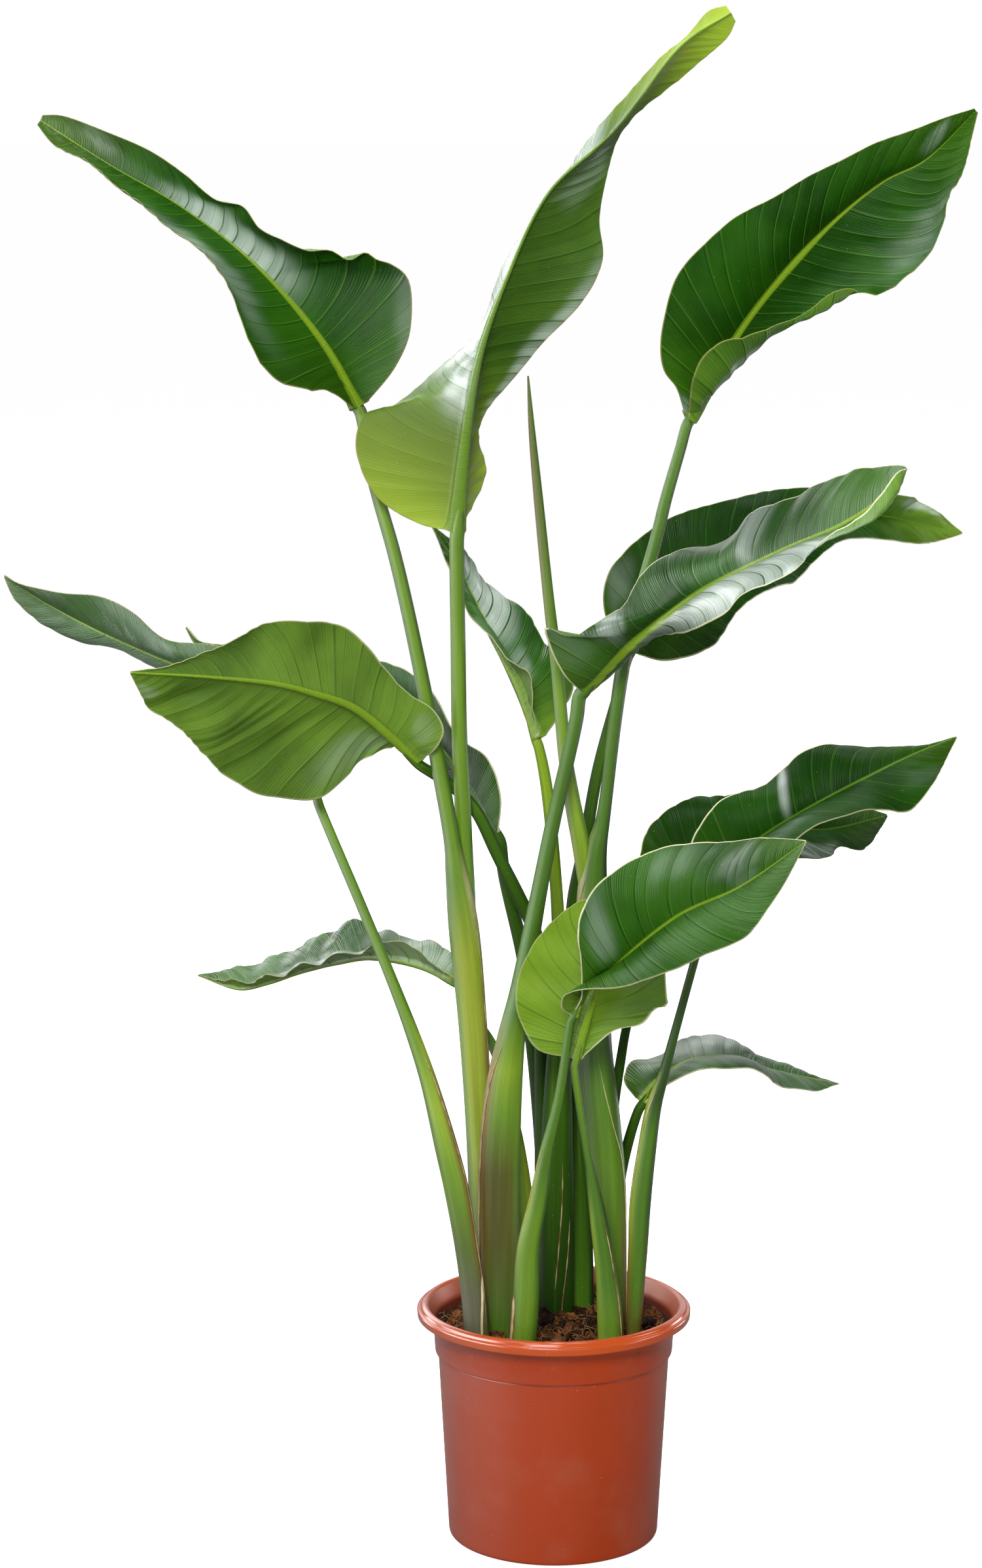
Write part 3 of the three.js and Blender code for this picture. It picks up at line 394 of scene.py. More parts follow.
class Wiring:
    """Adds nodes to one node tree and wires them together."""

    def __init__(self, tree: NodeTree) -> None:
        """Takes the tree that the nodes go into."""
        self.tree = tree

    def node(self, kind: str, inputs: dict[str | int, object] | None = None,
             **settings: object) -> Node:
        """Adds a node.

        Args:
            kind: the node's type name.
            inputs: its sockets by name or number, each a value or the socket that feeds it.
            settings: its other properties.

        Returns:
            The node.
        """
        made = self.tree.nodes.new(kind)
        for name, value in settings.items():
            setattr(made, name, value)
        self.dress(made, inputs or {})
        return made

    def dress(self, node: Node, inputs: dict[str | int, object]) -> None:
        """Sets or wires some inputs of a node."""
        for name, value in inputs.items():
            self.feed(node.inputs[name], value)

    def feed(self, socket: Socket, value: object) -> None:
        """Sets a socket to a value, or wires it to the socket given as its value."""
        if isinstance(value, Socket):
            self.tree.links.new(value, socket)
        else:
            socket.default_value = value

    def math(self, operation: str, *values: object) -> Socket:
        """Result of a Math node on sockets or numbers."""
        return self.node("ShaderNodeMath", dict(enumerate(values)), operation=operation).outputs[0]

    def times(self, first: object, second: object, plus: object = None) -> Socket:
        """Product of two sockets or numbers, with a third one added if it is given."""
        if plus is None:
            return self.math("MULTIPLY", first, second)
        return self.math("MULTIPLY_ADD", first, second, plus)

    def step(self, value: object, low: float, high: float, start: float = 0.0,
             end: float = 1.0) -> Socket:
        """Soft step of a value from start at low to end at high."""
        inputs = {"Value": value, "From Min": low, "From Max": high, "To Min": start, "To Max": end}
        return self.node("ShaderNodeMapRange", inputs, interpolation_type="SMOOTHSTEP").outputs[0]

    def blend(self, share: object, first: object, second: object, how: str = "MIX") -> Socket:
        """Blends two colours, each a socket, sRGB in parts of 255, or linear with alpha.

        Args:
            share: how much of the second colour shows.
            first: one colour.
            second: the other.
            how: the way of blending.

        Returns:
            The colour between them.
        """
        mixer = self.node("ShaderNodeMix", {0: share}, data_type="RGBA", blend_type=how)
        for place, colour in ((6, first), (7, second)):
            srgb = isinstance(colour, tuple) and len(colour) == 3
            self.feed(mixer.inputs[place], linear(colour) if srgb else colour)
        return mixer.outputs[2]

    def noise(self, vector: Socket, scale: float, detail: float = 2.0,
              roughness: float = 0.5) -> Socket:
        """Value of a noise texture, around 0.5."""
        inputs = {"Vector": vector, "Scale": scale, "Detail": detail, "Roughness": roughness}
        return self.node("ShaderNodeTexNoise", inputs).outputs[0]

    def scaled(self, vector: Socket, factors: Triple) -> Socket:
        """A vector stretched along each of its axes."""
        return self.node("ShaderNodeMapping", {"Vector": vector, "Scale": factors}).outputs[0]

    def attribute(self, name: str, output: str = "Fac") -> Socket:
        """What the mesh stores under a name."""
        return self.node("ShaderNodeAttribute", attribute_name=name).outputs[output]

    def object_place(self) -> Socket:
        """Object coordinates of the surface."""
        return self.node("ShaderNodeTexCoord").outputs["Object"]

    def group(self, tree: NodeTree, **inputs: object) -> dict[str, Socket]:
        """Outputs of a node group by name, with its inputs set or wired."""
        made = self.node("ShaderNodeGroup", inputs, node_tree=tree)
        return {socket.name: socket for socket in made.outputs}

    def bump(self, height: Socket, strength: float, distance: float) -> Socket:
        """Normal of a surface with fine relief."""
        inputs = {"Height": height, "Strength": strength, "Distance": distance}
        return self.node("ShaderNodeBump", inputs).outputs[0]


class Group(Wiring):
    """Wiring of a node tree of its own: given holds its inputs, and result takes its outputs."""

    def __init__(self, name: str, tree: str, inputs: dict[str, tuple[str, object]],
                 outputs: dict[str, str]) -> None:
        """Starts the tree.

        Args:
            name: what the tree is called.
            tree: the kind of tree, Shader or Geometry.
            inputs: kind of socket and default of each named input.
            outputs: kind of socket of each named output.
        """
        super().__init__(bpy.data.node_groups.new(name, f"{tree}NodeTree"))
        for label, (kind, default) in inputs.items():
            socket = self.tree.interface.new_socket(label, in_out="INPUT",
                                                    socket_type=f"NodeSocket{kind}")
            if default is not None:
                socket.default_value = default
        for label, kind in outputs.items():
            self.tree.interface.new_socket(label, in_out="OUTPUT", socket_type=f"NodeSocket{kind}")
        self.given = {s.name: s for s in self.node("NodeGroupInput").outputs if s.name}
        self.result = {s.name: s for s in self.node("NodeGroupOutput").inputs if s.name}


class Effects:
    """Shader node groups that several finishes share."""

    def __init__(self) -> None:
        """Builds each group once."""
        self.fibres = self._fibres()
        self.dust = self._dust()

    @staticmethod
    def _fibres() -> NodeTree:
        """Fine lines of tissue that run along one direction of a surface.

        Returns:
            The group's tree, with masks of lines and streaks and a height.
        """
        w = Group("Tissue lines", "Shader",
                  {"Along": ("Float", 0.0), "Across": ("Float", 0.0),
                   "Spacing": ("Float", 0.0014), "Stretch": ("Float", 0.05)},
                  {"Line": "Float", "Streak": "Float", "Height": "Float"})
        turns = w.math("DIVIDE", w.given["Across"], w.given["Spacing"])
        length = w.math("DIVIDE", w.times(w.given["Along"], w.given["Stretch"]),
                        w.given["Spacing"])
        place = w.node("ShaderNodeCombineXYZ", {0: turns, 1: length}).outputs[0]
        sway = w.noise(place, 0.35)
        wave = w.math("SINE", w.times(w.times(sway, 1.6, turns), 2 * math.pi))
        streak = w.noise(place, 0.16, 4.0, 0.6)
        w.feed(w.result["Line"], w.step(wave, 0.35, 1.0))
        w.feed(w.result["Streak"], streak)
        w.feed(w.result["Height"], w.times(streak, 0.7, w.times(wave, 0.35)))
        return w.tree

    @staticmethod
    def _dust() -> NodeTree:
        """Dried water marks and dust specks, as masks.

        Returns:
            The group's tree.
        """
        w = Group("Dust and water marks", "Shader",
                  {"Vector": ("Vector", None), "Amount": ("Float", 0.5)},
                  {"Film": "Float", "Speck": "Float"})
        vector, amount = w.given["Vector"], w.given["Amount"]
        film = w.step(w.noise(vector, 18.0, 5.0, 0.6), 0.45, 0.75)
        cells = w.node("ShaderNodeTexVoronoi", {"Vector": vector, "Scale": 150.0}).outputs
        near = w.step(cells["Distance"], 0.05, 0.09, 1.0, 0.0)
        chance = w.node("ShaderNodeSeparateColor", {0: cells["Color"]}).outputs[0]
        w.feed(w.result["Film"], w.times(film, amount))
        w.feed(w.result["Speck"], w.times(w.times(near, w.step(chance, 0.80, 0.82)), amount))
        return w.tree


def new_material(name: str) -> tuple[Material, Wiring, Node]:
    """Starts a material and returns it with its wiring and its Principled shader."""
    material = bpy.data.materials.new(name)
    material.use_nodes = True
    return material, Wiring(material.node_tree), material.node_tree.nodes["Principled BSDF"]


@dataclass(frozen=True)
class BladeFinish:
    """Waxy leaf blade: a dark glossy upper side, a paler under side, and pale lines.

    A crease follows each side vein. Its ridge, paler and painted as lit, and its gully, painted
    in shade, are given by where each begins and is full, and where it wanes and ends, in metres
    from the vein. Silver is painted over the waxy patches as a painted sheen.
    """

    name: str
    upper: Colour = (20, 58, 6)
    upper_light: Colour = (44, 96, 14)
    upper_crease_shade: Colour = (10, 34, 4)
    upper_vein_and_sheen: Colour = (76, 128, 34)
    under: Colour = (70, 112, 28)
    under_light: Colour = (100, 144, 42)
    pale: Colour = (134, 172, 44)
    rib: Colour = (132, 166, 36)
    margin: Colour = (168, 156, 96)
    cream: Colour = (232, 232, 190)
    painted_sheen: Colour = (208, 220, 214)
    speck: Colour = (196, 204, 190)
    roughness: float = 0.3
    under_roughness: float = 0.46
    shine: float = 0.3
    glow: float = 0.15
    veins: float = 0.66
    vein_spacing: float = 0.0016
    ridge: tuple[float, float, float, float] = (-0.0003, 0.0001, 0.0005, 0.0012)
    shaded_gully: tuple[float, float, float, float] = (-0.0019, -0.0007, -0.0004, 0.0)

    def material(self, effects: Effects) -> Material:
        """Makes the finish.

        Args:
            effects: the shared node groups.

        Returns:
            A material that reads the places stored in a blade's mesh.
        """
        material, w, surface = new_material(self.name)
        upper, rib, margin, crease, pale, wax, cream = (w.attribute(name) for name in (
            "upper", "rib", "margin", "crease", "pale", "wax", "cream"))
        lines = w.group(effects.fibres, Across=w.attribute("vein"), Along=w.attribute("across"),
                        Spacing=self.vein_spacing)
        line, streak = lines["Line"], lines["Streak"]
        place = w.object_place()
        dust = w.group(effects.dust, Vector=place, Amount=0.5)
        clear = w.step(w.noise(place, 22.0), 0.3, 0.65, 0.35, 1.0)
        # Each crease's ridge is painted lighter as a highlight, and its gully darker as painted shade.
        ridge, shaded_gully = (w.times(w.times(w.times(
            w.step(crease, begin, full), w.step(crease, wane, end, 1.0, 0.0)), clear), self.veins)
            for begin, full, wane, end in (self.ridge, self.shaded_gully))
        patches = w.step(w.noise(place, 9.0, 3.0), 0.35, 0.65)
        share = w.times(streak, 0.45, w.times(patches, 0.35))
        mottle = w.step(share, 0.1, 0.7)
        top = w.blend(mottle, self.upper, self.upper_light)
        top = w.blend(w.times(line, 0.14), top, self.upper_light)
        # Painted highlight on the crease ridges and painted shade in the gullies of the upper side.
        top = w.blend(ridge, top, self.upper_vein_and_sheen)
        top = w.blend(shaded_gully, top, self.upper_crease_shade)
        low = w.blend(mottle, self.under, self.under_light)
        # Painted highlight on the ridges and painted shade in the gullies of the under side.
        low = w.blend(w.times(line, 0.2, ridge), low, self.under_light)
        low = w.blend(w.times(shaded_gully, 0.8), low, self.upper)
        age = w.times(pale, w.step(share, 0.0, 0.9, 0.85, 1.0))
        # Painted sheen: silver is painted into the colour where the blade is waxy, weaker in the shaded
        # gullies.
        dull = w.times(shaded_gully, -1.2, w.step(share, 0.0, 0.8, 0.5, 1.0))
        film = w.times(w.math("POWER", wax, 1.7), dull)
        thin = w.step(margin, 0.0002, 0.0009, 1.0, 0.0)
        wide = w.step(margin, 0.0005, 0.0013, 1.0, 0.0)
        colour = w.blend(upper, low, top)
        for mask, tint in ((age, self.pale), (film, self.painted_sheen),
                           (w.step(rib, 0.6, 1.15, 0.9, 0.0), self.rib),
                           (w.times(thin, 0.6), self.margin), (w.times(wide, cream), self.cream),
                           (w.times(dust["Speck"], 0.5), self.speck)):
            colour = w.blend(mask, colour, tint)
        rough = w.node("ShaderNodeMapRange", {"Value": upper, "To Min": self.under_roughness,
                                              "To Max": self.roughness}).outputs[0]
        rough = w.times(streak, 0.08, w.times(dust["Film"], 0.16, rough))
        relief = w.times(w.math("SUBTRACT", ridge, shaded_gully), 0.8, lines["Height"])
        relief = w.times(relief, w.times(pale, -0.9, 1.0))
        w.dress(surface, {
            "Base Color": colour, "Roughness": rough, "Normal": w.bump(relief, 0.6, 0.0004),
            "Specular IOR Level": self.shine, "Coat Weight": w.times(wax, 0.7),
            "Coat Roughness": 0.26, "Subsurface Weight": self.glow,
            "Subsurface Radius": (0.6, 1.0, 0.25), "Subsurface Scale": 0.003})
        return material


@dataclass(frozen=True)
class StalkFinish:
    """Smooth waxy stalk, streaked along its length, with a drier sheath lower down."""

    name: str
    roughness: float = 0.38
    streaks: float = 0.6
    shine: float = 0.3
    speck: Colour = (206, 206, 190)

    def material(self, effects: Effects) -> Material:
        """Makes the finish from the tones stored in the mesh.

        Args:
            effects: the shared node groups.

        Returns:
            The material.
        """
        material, w, surface = new_material(self.name)
        tone, across, along = w.attribute("tone", "Color"), w.attribute("round"), w.attribute("along")
        fine, broad = (w.group(effects.fibres, Across=across, Along=along, Spacing=spacing,
                               Stretch=stretch)
                       for spacing, stretch in ((0.0011, 0.02), (0.0045, 0.03)))
        dust = w.group(effects.dust, Vector=w.object_place(), Amount=0.5)
        streak = fine["Streak"]
        deep = w.blend(1.0, tone, (0.6, 0.72, 0.5, 1), "MULTIPLY")
        tone = w.blend(w.step(broad["Streak"], 0.45, 0.7), tone, deep)
        dark = w.blend(1.0, tone, (0.62, 0.66, 0.55, 1), "MULTIPLY")
        light = w.blend(0.22, tone, CREAM.value)
        colour = w.blend(w.times(w.step(streak, 0.62, 0.4), self.streaks), tone, dark)
        colour = w.blend(w.times(w.step(streak, 0.55, 0.75), self.streaks), colour, light)
        colour = w.blend(w.times(dust["Speck"], 0.4), colour, self.speck)
        rough = w.times(streak, 0.1, w.times(dust["Film"], 0.2, self.roughness))
        w.dress(surface, {
            "Base Color": colour, "Roughness": rough,
            "Normal": w.bump(fine["Height"], 0.35, 0.0003), "Specular IOR Level": self.shine,
            "Subsurface Weight": 0.25, "Subsurface Radius": (0.7, 1.0, 0.3),
            "Subsurface Scale": 0.004})
        return material


@dataclass(frozen=True)
class PotFinish:
    """Moulded terracotta-coloured plastic, satin on the wall and glossier on the rim."""

    name: str
    colour: Colour = (175, 60, 12)
    shade: Colour = (146, 44, 8)
    # Painted shade: the inside of the wall is painted darker.
    inner: Colour = (98, 34, 16)
    worn: Colour = (204, 112, 84)
    # Painted highlight: the rim is painted lighter.
    lip: Colour = (224, 100, 44)
    film: Colour = (206, 150, 124)
    speck: Colour = (226, 196, 176)

    def material(self, effects: Effects) -> Material:
        """Makes the finish.

        Args:
            effects: the shared node groups.

        Returns:
            The material.
        """
        material, w, surface = new_material(self.name)
        place, inside, satin = w.object_place(), w.attribute("inside"), w.attribute("satin")
        dust = w.group(effects.dust, Vector=place, Amount=0.6)
        scuffs = w.noise(w.scaled(place, (60.0, 60.0, 900.0)), 1.0, 3.0, 0.7)
        wear = w.times(w.step(scuffs, 0.6, 0.7), w.step(w.noise(place, 26.0), 0.56, 0.7))
        colour = w.blend(w.step(w.noise(place, 9.0), 0.3, 0.7, 0.0, 0.25), self.colour, self.shade)
        # The inside of the wall is painted darker as shade.
        for mask, tint in ((w.times(inside, 0.7), self.inner), (w.times(wear, 0.35), self.worn),
                           # The rim is painted lighter as a highlight.
                           (w.step(satin, 0.4, 0.0, 0.0, 0.5), self.lip),
                           (w.times(dust["Film"], 0.14), self.film),
                           (w.times(dust["Speck"], 0.6), self.speck)):
            colour = w.blend(mask, colour, tint)
        rough = w.times(wear, 0.12, w.times(satin, 0.2, 0.16))
        rough = w.times(dust["Film"], 0.12, w.times(inside, 0.25, rough))
        relief = w.times(w.noise(place, 60.0), 0.6, w.noise(place, 1400.0))
        w.dress(surface, {
            "Base Color": colour, "Roughness": rough, "Normal": w.bump(relief, 0.12, 0.0002),
            "Subsurface Weight": 0.06, "Subsurface Radius": (1.0, 0.4, 0.2),
            "Subsurface Scale": 0.002})
        return material


@dataclass(frozen=True)
class BarkFinish:
    """Damp bark and coir, with a tint of its own for every bit."""

    name: str
    dark: Colour
    light: Colour
    tint: str = ""

    def material(self) -> Material:
        """Makes the finish.

        Returns:
            The material.
        """
        material, w, surface = new_material(self.name)
        place = w.object_place()
        grain = w.noise(place, 260.0, 5.0, 0.7)
        share = w.times(w.noise(place, 38.0, 3.0), 0.7, w.times(grain, 0.7))
        if self.tint:
            share = w.times(w.attribute(self.tint), 0.55, share)
        ends = (0.75, 1.45) if self.tint else (0.5, 1.0)
        w.dress(surface, {
            "Base Color": w.blend(w.step(share, *ends), self.dark, self.light),
            "Roughness": w.step(grain, 0.3, 0.8, 0.7, 0.95), "Specular IOR Level": 0.12,
            "Normal": w.bump(grain, 0.8, 0.002)})
        return material


def placed(name: str, data: ID) -> Object:
    """Object that shows some data, linked to the scene."""
    made = bpy.data.objects.new(name, data)
    bpy.context.scene.collection.objects.link(made)
    return made


def mesh_piece(name: str, vertices: Array, faces: Array | list,
               values: dict[str, Array], material: Material) -> Object:
    """Makes a smooth mesh object at the origin.

    Args:
        name: the piece's name.
        vertices: its points in metres.
        faces: corner numbers of each face.
        values: what is stored at the points: one number each, or a colour.
        material: its finish.

    Returns:
        The object, linked to the scene.
    """
    mesh = bpy.data.meshes.new(name)
    mesh.from_pydata(np.asarray(vertices).tolist(), [], [list(f) for f in faces])
    mesh.polygons.foreach_set("use_smooth", [True] * len(mesh.polygons))
    for label, data in values.items():
        kind, part = ("FLOAT", "value") if np.ndim(data) == 1 else ("FLOAT_COLOR", "color")
        stored = mesh.attributes.new(label, kind, "POINT")
        stored.data.foreach_set(part, np.asarray(data, np.float32).ravel())
    mesh.materials.append(material)
    mesh.update()
    return placed(name, mesh)


def carry(piece: Object, slot: str, *nodes: str) -> None:
    """Fixes a piece to the plant and hides the solids it stands for.

    Args:
        piece: the object.
        slot: not used.
        nodes: the solids that it replaces.
    """
    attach(piece, "root")
    if nodes:
        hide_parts(*nodes)
    LOG.info("%s: %d faces", piece.name, len(piece.data.polygons))


def grid_faces(rows: int, columns: int, closed: bool = False) -> Array:
    """Faces of a grid of points, row by row, joined round its columns if closed."""
    r = np.arange(rows - 1)[:, None]
    c = np.arange(columns if closed else columns - 1)[None, :]
    a, b = r * columns + c, r * columns + (c + 1) % columns
    return np.stack([a, b, b + columns, a + columns], -1).reshape(-1, 4)


def circled(radius: Array, angle: Array, height: Array) -> Array:
    """Points round the pot's axis, row by row, at radii, angles and heights."""
    rows = np.broadcast_arrays(radius * np.cos(angle), radius * np.sin(angle), height)
    return np.stack(rows, -1).reshape(-1, 3)


def round_angles(count: int) -> Array:
    """Evenly spaced angles of one whole turn."""
    return np.linspace(0, 2 * math.pi, count, endpoint=False)


@dataclass
class Blade:
    """A leaf blade: two waved halves on a rib, pleated along their side veins.

    Lengths are in millimetres. A reach says at which shares of the way from the rib to the rim,
    or along the rib, something begins and is full.
    """

    name: str
    plan: LeafPlan
    look: "BladeLook"
    thickness: float = 0.6
    side_columns: int = 22
    fold_share: float = 0.55
    end_crowding: float = 0.3
    rib_height: float = 1.4
    rib_tip: float = 0.5
    least_step: float = 0.35
    panel_width: float = 15.0
    panel_rows: int = 8
    least_panels: int = 8
    panel_widths: Pair = (0.55, 1.45)
    panel_strengths: Pair = (0.35, 1.25)
    pleat_reach: Pair = (0.02, 0.3)
    fold_reach: Pair = (0.05, 0.6)
    base_reach: Pair = (0.0, 0.06)
    tip_reach: Pair = (1.0, 0.93)
    # How far the sheen patches reach across, and how deep the painted light and shade across each panel
    # goes.
    sheen_reach: float = 0.72
    panel_shading: float = 0.09
    rib_columns: Sequence[float] = (0.25, 0.5, 0.75, 1.0)
    rib_share: float = 0.4
    lip_share: float = 0.12
    lip_width: float = 0.8
    vein_lean: float = 0.55
    vein_bend: float = 1.15
    rib_swell: float = 1.25
    groove: float = 0.35

    def __post_init__(self) -> None:
        """Lays the rib and both edges in millimetres, and draws the widths of the panels."""
        self.rib = Path(self.plan.rib)
        self.rib_half = self.plan.stalk[-1][3]
        self.edges = [self._edge(points, 1.0) for points in (self.plan.upper, self.plan.lower)]
        self.fold = self._edge(self.plan.fold, self.fold_share) if self.plan.fold else None
        rng = np.random.default_rng(int(self.name[-2:]))
        self.panels = max(self.least_panels, round(self.rib.length / self.panel_width))
        widths = rng.uniform(*self.panel_widths, self.panels)
        ends = np.concatenate([[0.0], np.cumsum(widths)]) / widths.sum()
        self.panel_ends = ends + ((1 - np.cos(math.pi * ends)) / 2 - ends) * self.end_crowding
        self.panel_strength = rng.uniform(*self.panel_strengths, (2, self.panels + 2))

    def _edge(self, points: Points, share: float) -> Path:
        """Line from beside the rib's base to beside its tip.

        Args:
            points: the points between the ends.
            share: how far out from the rib the ends lie.

        Returns:
            The line.
        """
        ends = []
        for at, near, half in ((0, points[0], self.rib_half), (1, points[-1], self.plan.tip)):
            middle, along = self.rib.at(at), self.rib.direction(at)
            side = np.asarray(near, float) - middle
            side = unit(side - along * (side @ along))
            ends.append(tuple(middle + side * half * share))
        return Path([ends[0], *points, ends[1]])

    def _surface(self, index: int, t: Array, q: Array) -> Array:
        """Points of one half.

        Args:
            index: 0 for the upper edge, 1 for the lower one.
            t: places along the rib and the edge, by row and column.
            q: shares of the way from the rib to the edge, by row and column.

        Returns:
            The points by row and column.
        """
        plan = self.plan
        middle, along, rim = self.rib.at(t), self.rib.direction(t), self.edges[index].at(t)
        span = rim - middle
        out = unit(np.cross(along, span)) * (1 - 2 * index) * plan.face
        swell = np.sin(math.pi * t)[..., None]
        phase = 2 * math.pi * (plan.waves * t + index / 3)
        rim = rim + out * swell * plan.wave * np.sin(phase)[..., None]
        if index == 1 and self.fold is not None:
            fold = self.fold.at(t)
        else:
            fold = middle + (rim - middle) * self.fold_share + out * swell * plan.arch
        k = self.fold_share
        weights = ((q - k) * (q - 1) / k, q * (q - 1) / (k * (k - 1)), q * (q - k) / (1 - k))
        return sum(weight[..., None] * line for weight, line in zip(weights, (middle, fold, rim)))

    def _rib_width(self, t: Array) -> Array:
        """Half width of the rib at places along it."""
        return self.rib_half * np.clip(1 - t, 0, 1) ** self.look.rib_taper + self.rib_tip * t

    def _half(self, index: int, v: Array) -> dict[str, Array]:
        """One half of the blade, in rows that follow its side veins from rib to rim.

        Args:
            index: 0 for the upper edge, 1 for the lower one.
            v: where along the rib each row begins.

        Returns:
            The points, and the share of the way to the rim, the place along the blade and the
            width there of each.
        """
        width = np.linalg.norm(self.edges[index].at(v) - self.rib.at(v), axis=1)
        rib_reach = np.minimum(self.rib_share, 1.5 * self._rib_width(v) / width)
        lip = np.minimum(self.lip_share, self.lip_width / width)
        near = np.asarray(self.rib_columns)[None, :] * rib_reach[:, None]
        between = (np.arange(1, self.side_columns + 1) / self.side_columns)[None, :]
        far = rib_reach[:, None] + (1 - lip - rib_reach)[:, None] * between
        q = np.hstack([near, far, np.ones((len(v), 1))])
        lean = np.minimum(width / self.rib.length, self.vein_lean * (1 - v)) * (0.6 + 0.5 * v)
        steps = np.diff(v, prepend=0.0)
        end = np.cumsum(np.maximum(np.diff(v + lean, prepend=0.0), self.least_step * steps))
        end /= end[-1]
        t = v[:, None] + (end - v)[:, None] * q ** self.vein_bend
        return {"points": self._surface(index, t, q), "q": q * (2 * index - 1), "along": t,
                "width": np.repeat(width[:, None], q.shape[1], 1)}

    def _sheet(self) -> dict[str, Array]:
        """Middle surface of the blade and what is known at each of its points.

        Returns:
            Points, shares, lengths and panels, by row and column.
        """
        turns = np.linspace(0, self.panels, self.panels * self.panel_rows + 1)
        v = np.interp(turns, np.arange(self.panels + 1), self.panel_ends)
        up, low = self._half(0, v), self._half(1, v)
        zero = np.zeros((len(v), 1))
        centre = {"points": self.rib.at(v)[:, None, :], "q": zero, "along": v[:, None],
                  "width": zero + 1}
        sheet = {key: np.concatenate([up[key][:, ::-1], centre[key], low[key]], 1) for key in up}
        q, width = sheet["q"], sheet.pop("width")
        rib_half = self._rib_width(sheet["along"])
        phase = turns[:, None] + 0.5 * (q > 0)
        return sheet | {"phase": phase, "vein": np.repeat(v[:, None], q.shape[1], 1)
                        * self.rib.length, "across": q * width,
                        "margin": (1 - np.abs(q)) * width, "rib": np.abs(q) * width / rib_half}

    @staticmethod
    def _normals(points: Array) -> Array:
        """Unit normals of a grid of points, from its rows and columns."""
        across, along = np.gradient(points, axis=1), np.gradient(points, axis=0)
        return unit(np.cross(across, along))

    def _pleated(self, sheet: dict[str, Array]) -> Array:
        """Middle surface with its panels raised and its rim drawn in at the side veins.

        Args:
            sheet: the blade's middle surface.

        Returns:
            Its points, by row and column.
        """
        q, phase, points = sheet["q"], sheet["phase"], sheet["points"]
        strength = self.panel_strength[(q > 0).astype(int), np.floor(phase).astype(int)]
        along = sheet["along"]
        ends = smooth(*self.base_reach, along) * smooth(*self.tip_reach, along)
        rows_apart = np.linalg.norm(np.gradient(points, axis=0), axis=2)
        room = np.clip(rows_apart * self.panel_rows / self.panel_width, 0, 1) ** 2
        panel = np.abs(np.sin(math.pi * phase)) * strength * ends * room
        centre = points[:, [points.shape[1] // 2]]
        out = np.where(q[..., None] < 0, unit(points[:, [0]] - centre), unit(points[:, [-1]] - centre))
        pleat = np.where(q < 0, *self.look.pleat)
        raised = panel * pleat * smooth(*self.pleat_reach, np.abs(q))
        for fold in self.look.folds:
            away = (sheet["vein"] - fold.at * self.rib.length) / fold.width
            reach = smooth(*self.fold_reach, np.abs(q)) * ((q > 0) == (fold.half == 1))
            raised += fold.lift * np.exp(-away ** 2) * reach
        drawn = (panel - 0.6) * self.look.scallop * np.abs(q) ** 4 * ends
        return (points + self._normals(points) * (raised * self.plan.face)[..., None]
                + out * drawn[..., None])

    def _wax_and_sheen(self, sheet: dict[str, Array]) -> Array:
        """How waxy each point is and how strongly silver sheen is painted on it, from the sheen patches
        on either half.

        Args:
            sheet: the blade's middle surface.

        Returns:
            Wax and painted sheen from 0 to 1, by row and column.
        """
        q, at, phase = sheet["q"], sheet["vein"] / self.rib.length, sheet["phase"]
        panel = np.floor(phase).astype(int)
        reach = self.sheen_reach + 0.5 * self.panel_strength[(q > 0).astype(int), panel]
        # Each panel's sheen goes from brighter on one side to darker on the other: painted light and
        # shade across the pleat.
        painted_panel_shading = 1 + self.panel_shading * (np.cos(2 * math.pi * (phase - panel - 0.3)) - 1)
        wax = np.full(q.shape, self.look.wax)
        for sheen_patch in self.look.sheen_patches:
            away = (((at - sheen_patch.at) / sheen_patch.length) ** 2
                    + ((np.abs(q) - sheen_patch.out) / (sheen_patch.width * reach)) ** 2)
            dense = sheen_patch.wax * painted_panel_shading * np.exp(-away ** 2) * ((q > 0) == (sheen_patch.half == 1))
            wax = np.maximum(wax, dense)
        return wax

    def _marks(self, sheet: dict[str, Array]) -> dict[str, Array]:
        """What the finish reads at each point, with lengths in metres.

        Args:
            sheet: the blade's middle surface.

        Returns:
            Values by the names that the mesh stores them under.
        """
        along, q, phase, vein = (sheet[name] for name in ("along", "q", "phase", "vein"))
        length, look = self.rib.length, self.look
        out = 0.35 + 0.65 * np.abs(q)
        late = np.clip(vein / length - 0.75, 0, None)
        return {
            "across": sheet["across"] * MM, "margin": sheet["margin"] * MM, "rib": sheet["rib"],
            "vein": (vein - 1.4 * late ** 2 * length) * MM,
            "crease": (phase - np.round(phase)) * self.panel_width * MM,
            "pale": (look.pale_base * out * smooth(0.34, 0.0, along)
                     + look.pale_tip * smooth(0.7, 1.0, along)),
            "wax": self._wax_and_sheen(sheet), "cream": np.where(q < 0, *look.cream)}

